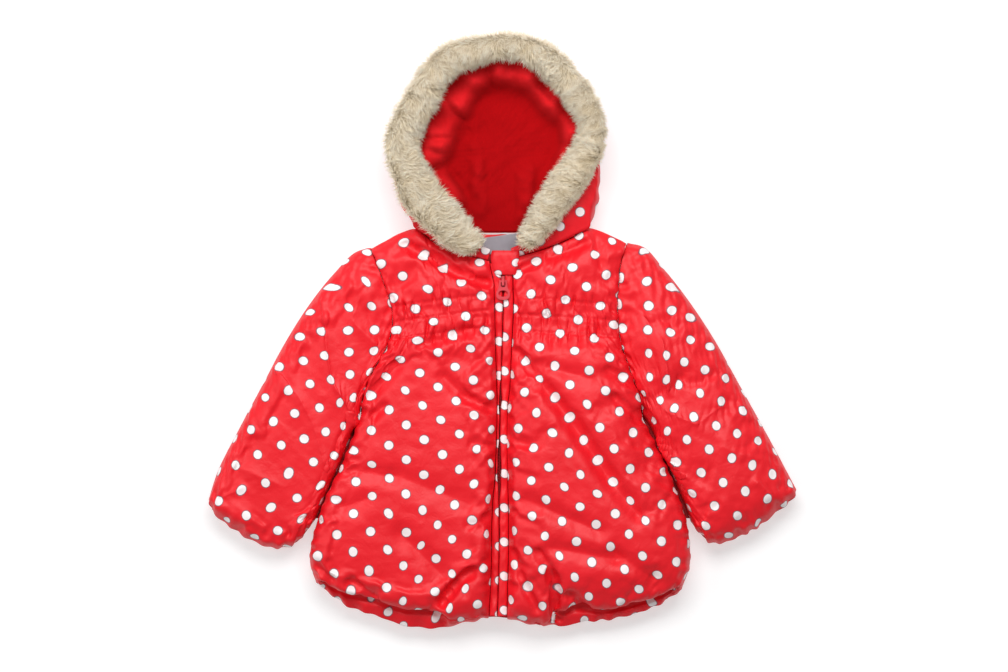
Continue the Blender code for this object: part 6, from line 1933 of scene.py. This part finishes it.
class JACKET_OT_hood(bpy.types.Operator):
    """Make the hood's padded outside, its fleece lining and its lower front edges"""

    bl_idname = "jacket.hood"
    bl_label = "Hood"

    def execute(self, context):
        settings = settings_of(context)
        cloth = shell_cloth("hood_shell", settings)
        dress_hood_shell(cloth)
        dress_lining()
        dress_hood_edge("hood_edge_left", LEFT_NECKLINE, LEFT_EDGE_WIDTHS, cloth)
        dress_hood_edge("hood_edge_right", RIGHT_NECKLINE, RIGHT_EDGE_WIDTHS, cloth)
        dress_hood_side("hood_side_left", -1, cloth)
        dress_hood_side("hood_side_right", 1, cloth)
        return {"FINISHED"}


class JACKET_OT_fur(bpy.types.Operator):
    """Make the fur trim round the face opening"""

    bl_idname = "jacket.fur"
    bl_label = "Fur trim"

    def execute(self, context):
        dress_fur(settings_of(context))
        return {"FINISHED"}


class JACKET_OT_zip(bpy.types.Operator):
    """Make the zip, the strips that cover it and the guard at its top"""

    bl_idname = "jacket.zip"
    bl_label = "Zip"

    def execute(self, context):
        settings = settings_of(context)
        cloth = shell_cloth("front_left", settings)
        dress_placket("placket_left", LEFT_PLACKET, -1, cloth)
        dress_placket("placket_right", RIGHT_PLACKET, 1, cloth)
        dress_tape("zip_tape_left", LEFT_PLACKET, -1)
        dress_tape("zip_tape_right", RIGHT_PLACKET, 1)
        dress_teeth(settings)
        dress_chin_guard(cloth)
        for name in ("zip_slider", "pull_tab"):
            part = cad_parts[name]
            part.data.materials.clear()
            part.data.materials.append(painted_metal())
        return {"FINISHED"}


class JACKET_OT_label(bpy.types.Operator):
    """Make the bare label at the back of the neck"""

    bl_idname = "jacket.label"
    bl_label = "Neck label"

    def execute(self, context):
        dress_label()
        return {"FINISHED"}


class JACKET_OT_stage(bpy.types.Operator):
    """Set the floor, the lights and the camera"""

    bl_idname = "jacket.stage"
    bl_label = "Stage"

    def execute(self, context):
        set_stage(settings_of(context))
        return {"FINISHED"}


class JACKET_PT_panel(bpy.types.Panel):
    bl_idname = "JACKET_PT_panel"
    bl_label = "Padded jacket"
    bl_space_type = "VIEW_3D"
    bl_region_type = "UI"
    bl_category = "Jacket"

    def draw(self, context):
        for name in JacketSettings.__annotations__:
            self.layout.prop(settings_of(context), name)
        for operator in OPERATORS:
            self.layout.operator(operator.bl_idname)


OPERATORS = (JACKET_OT_fronts, JACKET_OT_sleeves, JACKET_OT_back, JACKET_OT_hood, JACKET_OT_fur,
             JACKET_OT_zip, JACKET_OT_label, JACKET_OT_stage)
CLASSES = (JacketSettings, *OPERATORS, JACKET_PT_panel)


def register():
    for kind in CLASSES:
        bpy.utils.register_class(kind)
    bpy.types.Scene.padded_jacket = PointerProperty(type=JacketSettings)


def unregister():
    del bpy.types.Scene.padded_jacket
    for kind in reversed(CLASSES):
        bpy.utils.unregister_class(kind)


def main():
    register()
    bpy.ops.jacket.stage()
    bpy.ops.jacket.fronts()
    bpy.ops.jacket.sleeves()
    bpy.ops.jacket.back()
    bpy.ops.jacket.hood()
    bpy.ops.jacket.fur()
    bpy.ops.jacket.zip()
    bpy.ops.jacket.label()


if __name__ == "__main__":
    main()
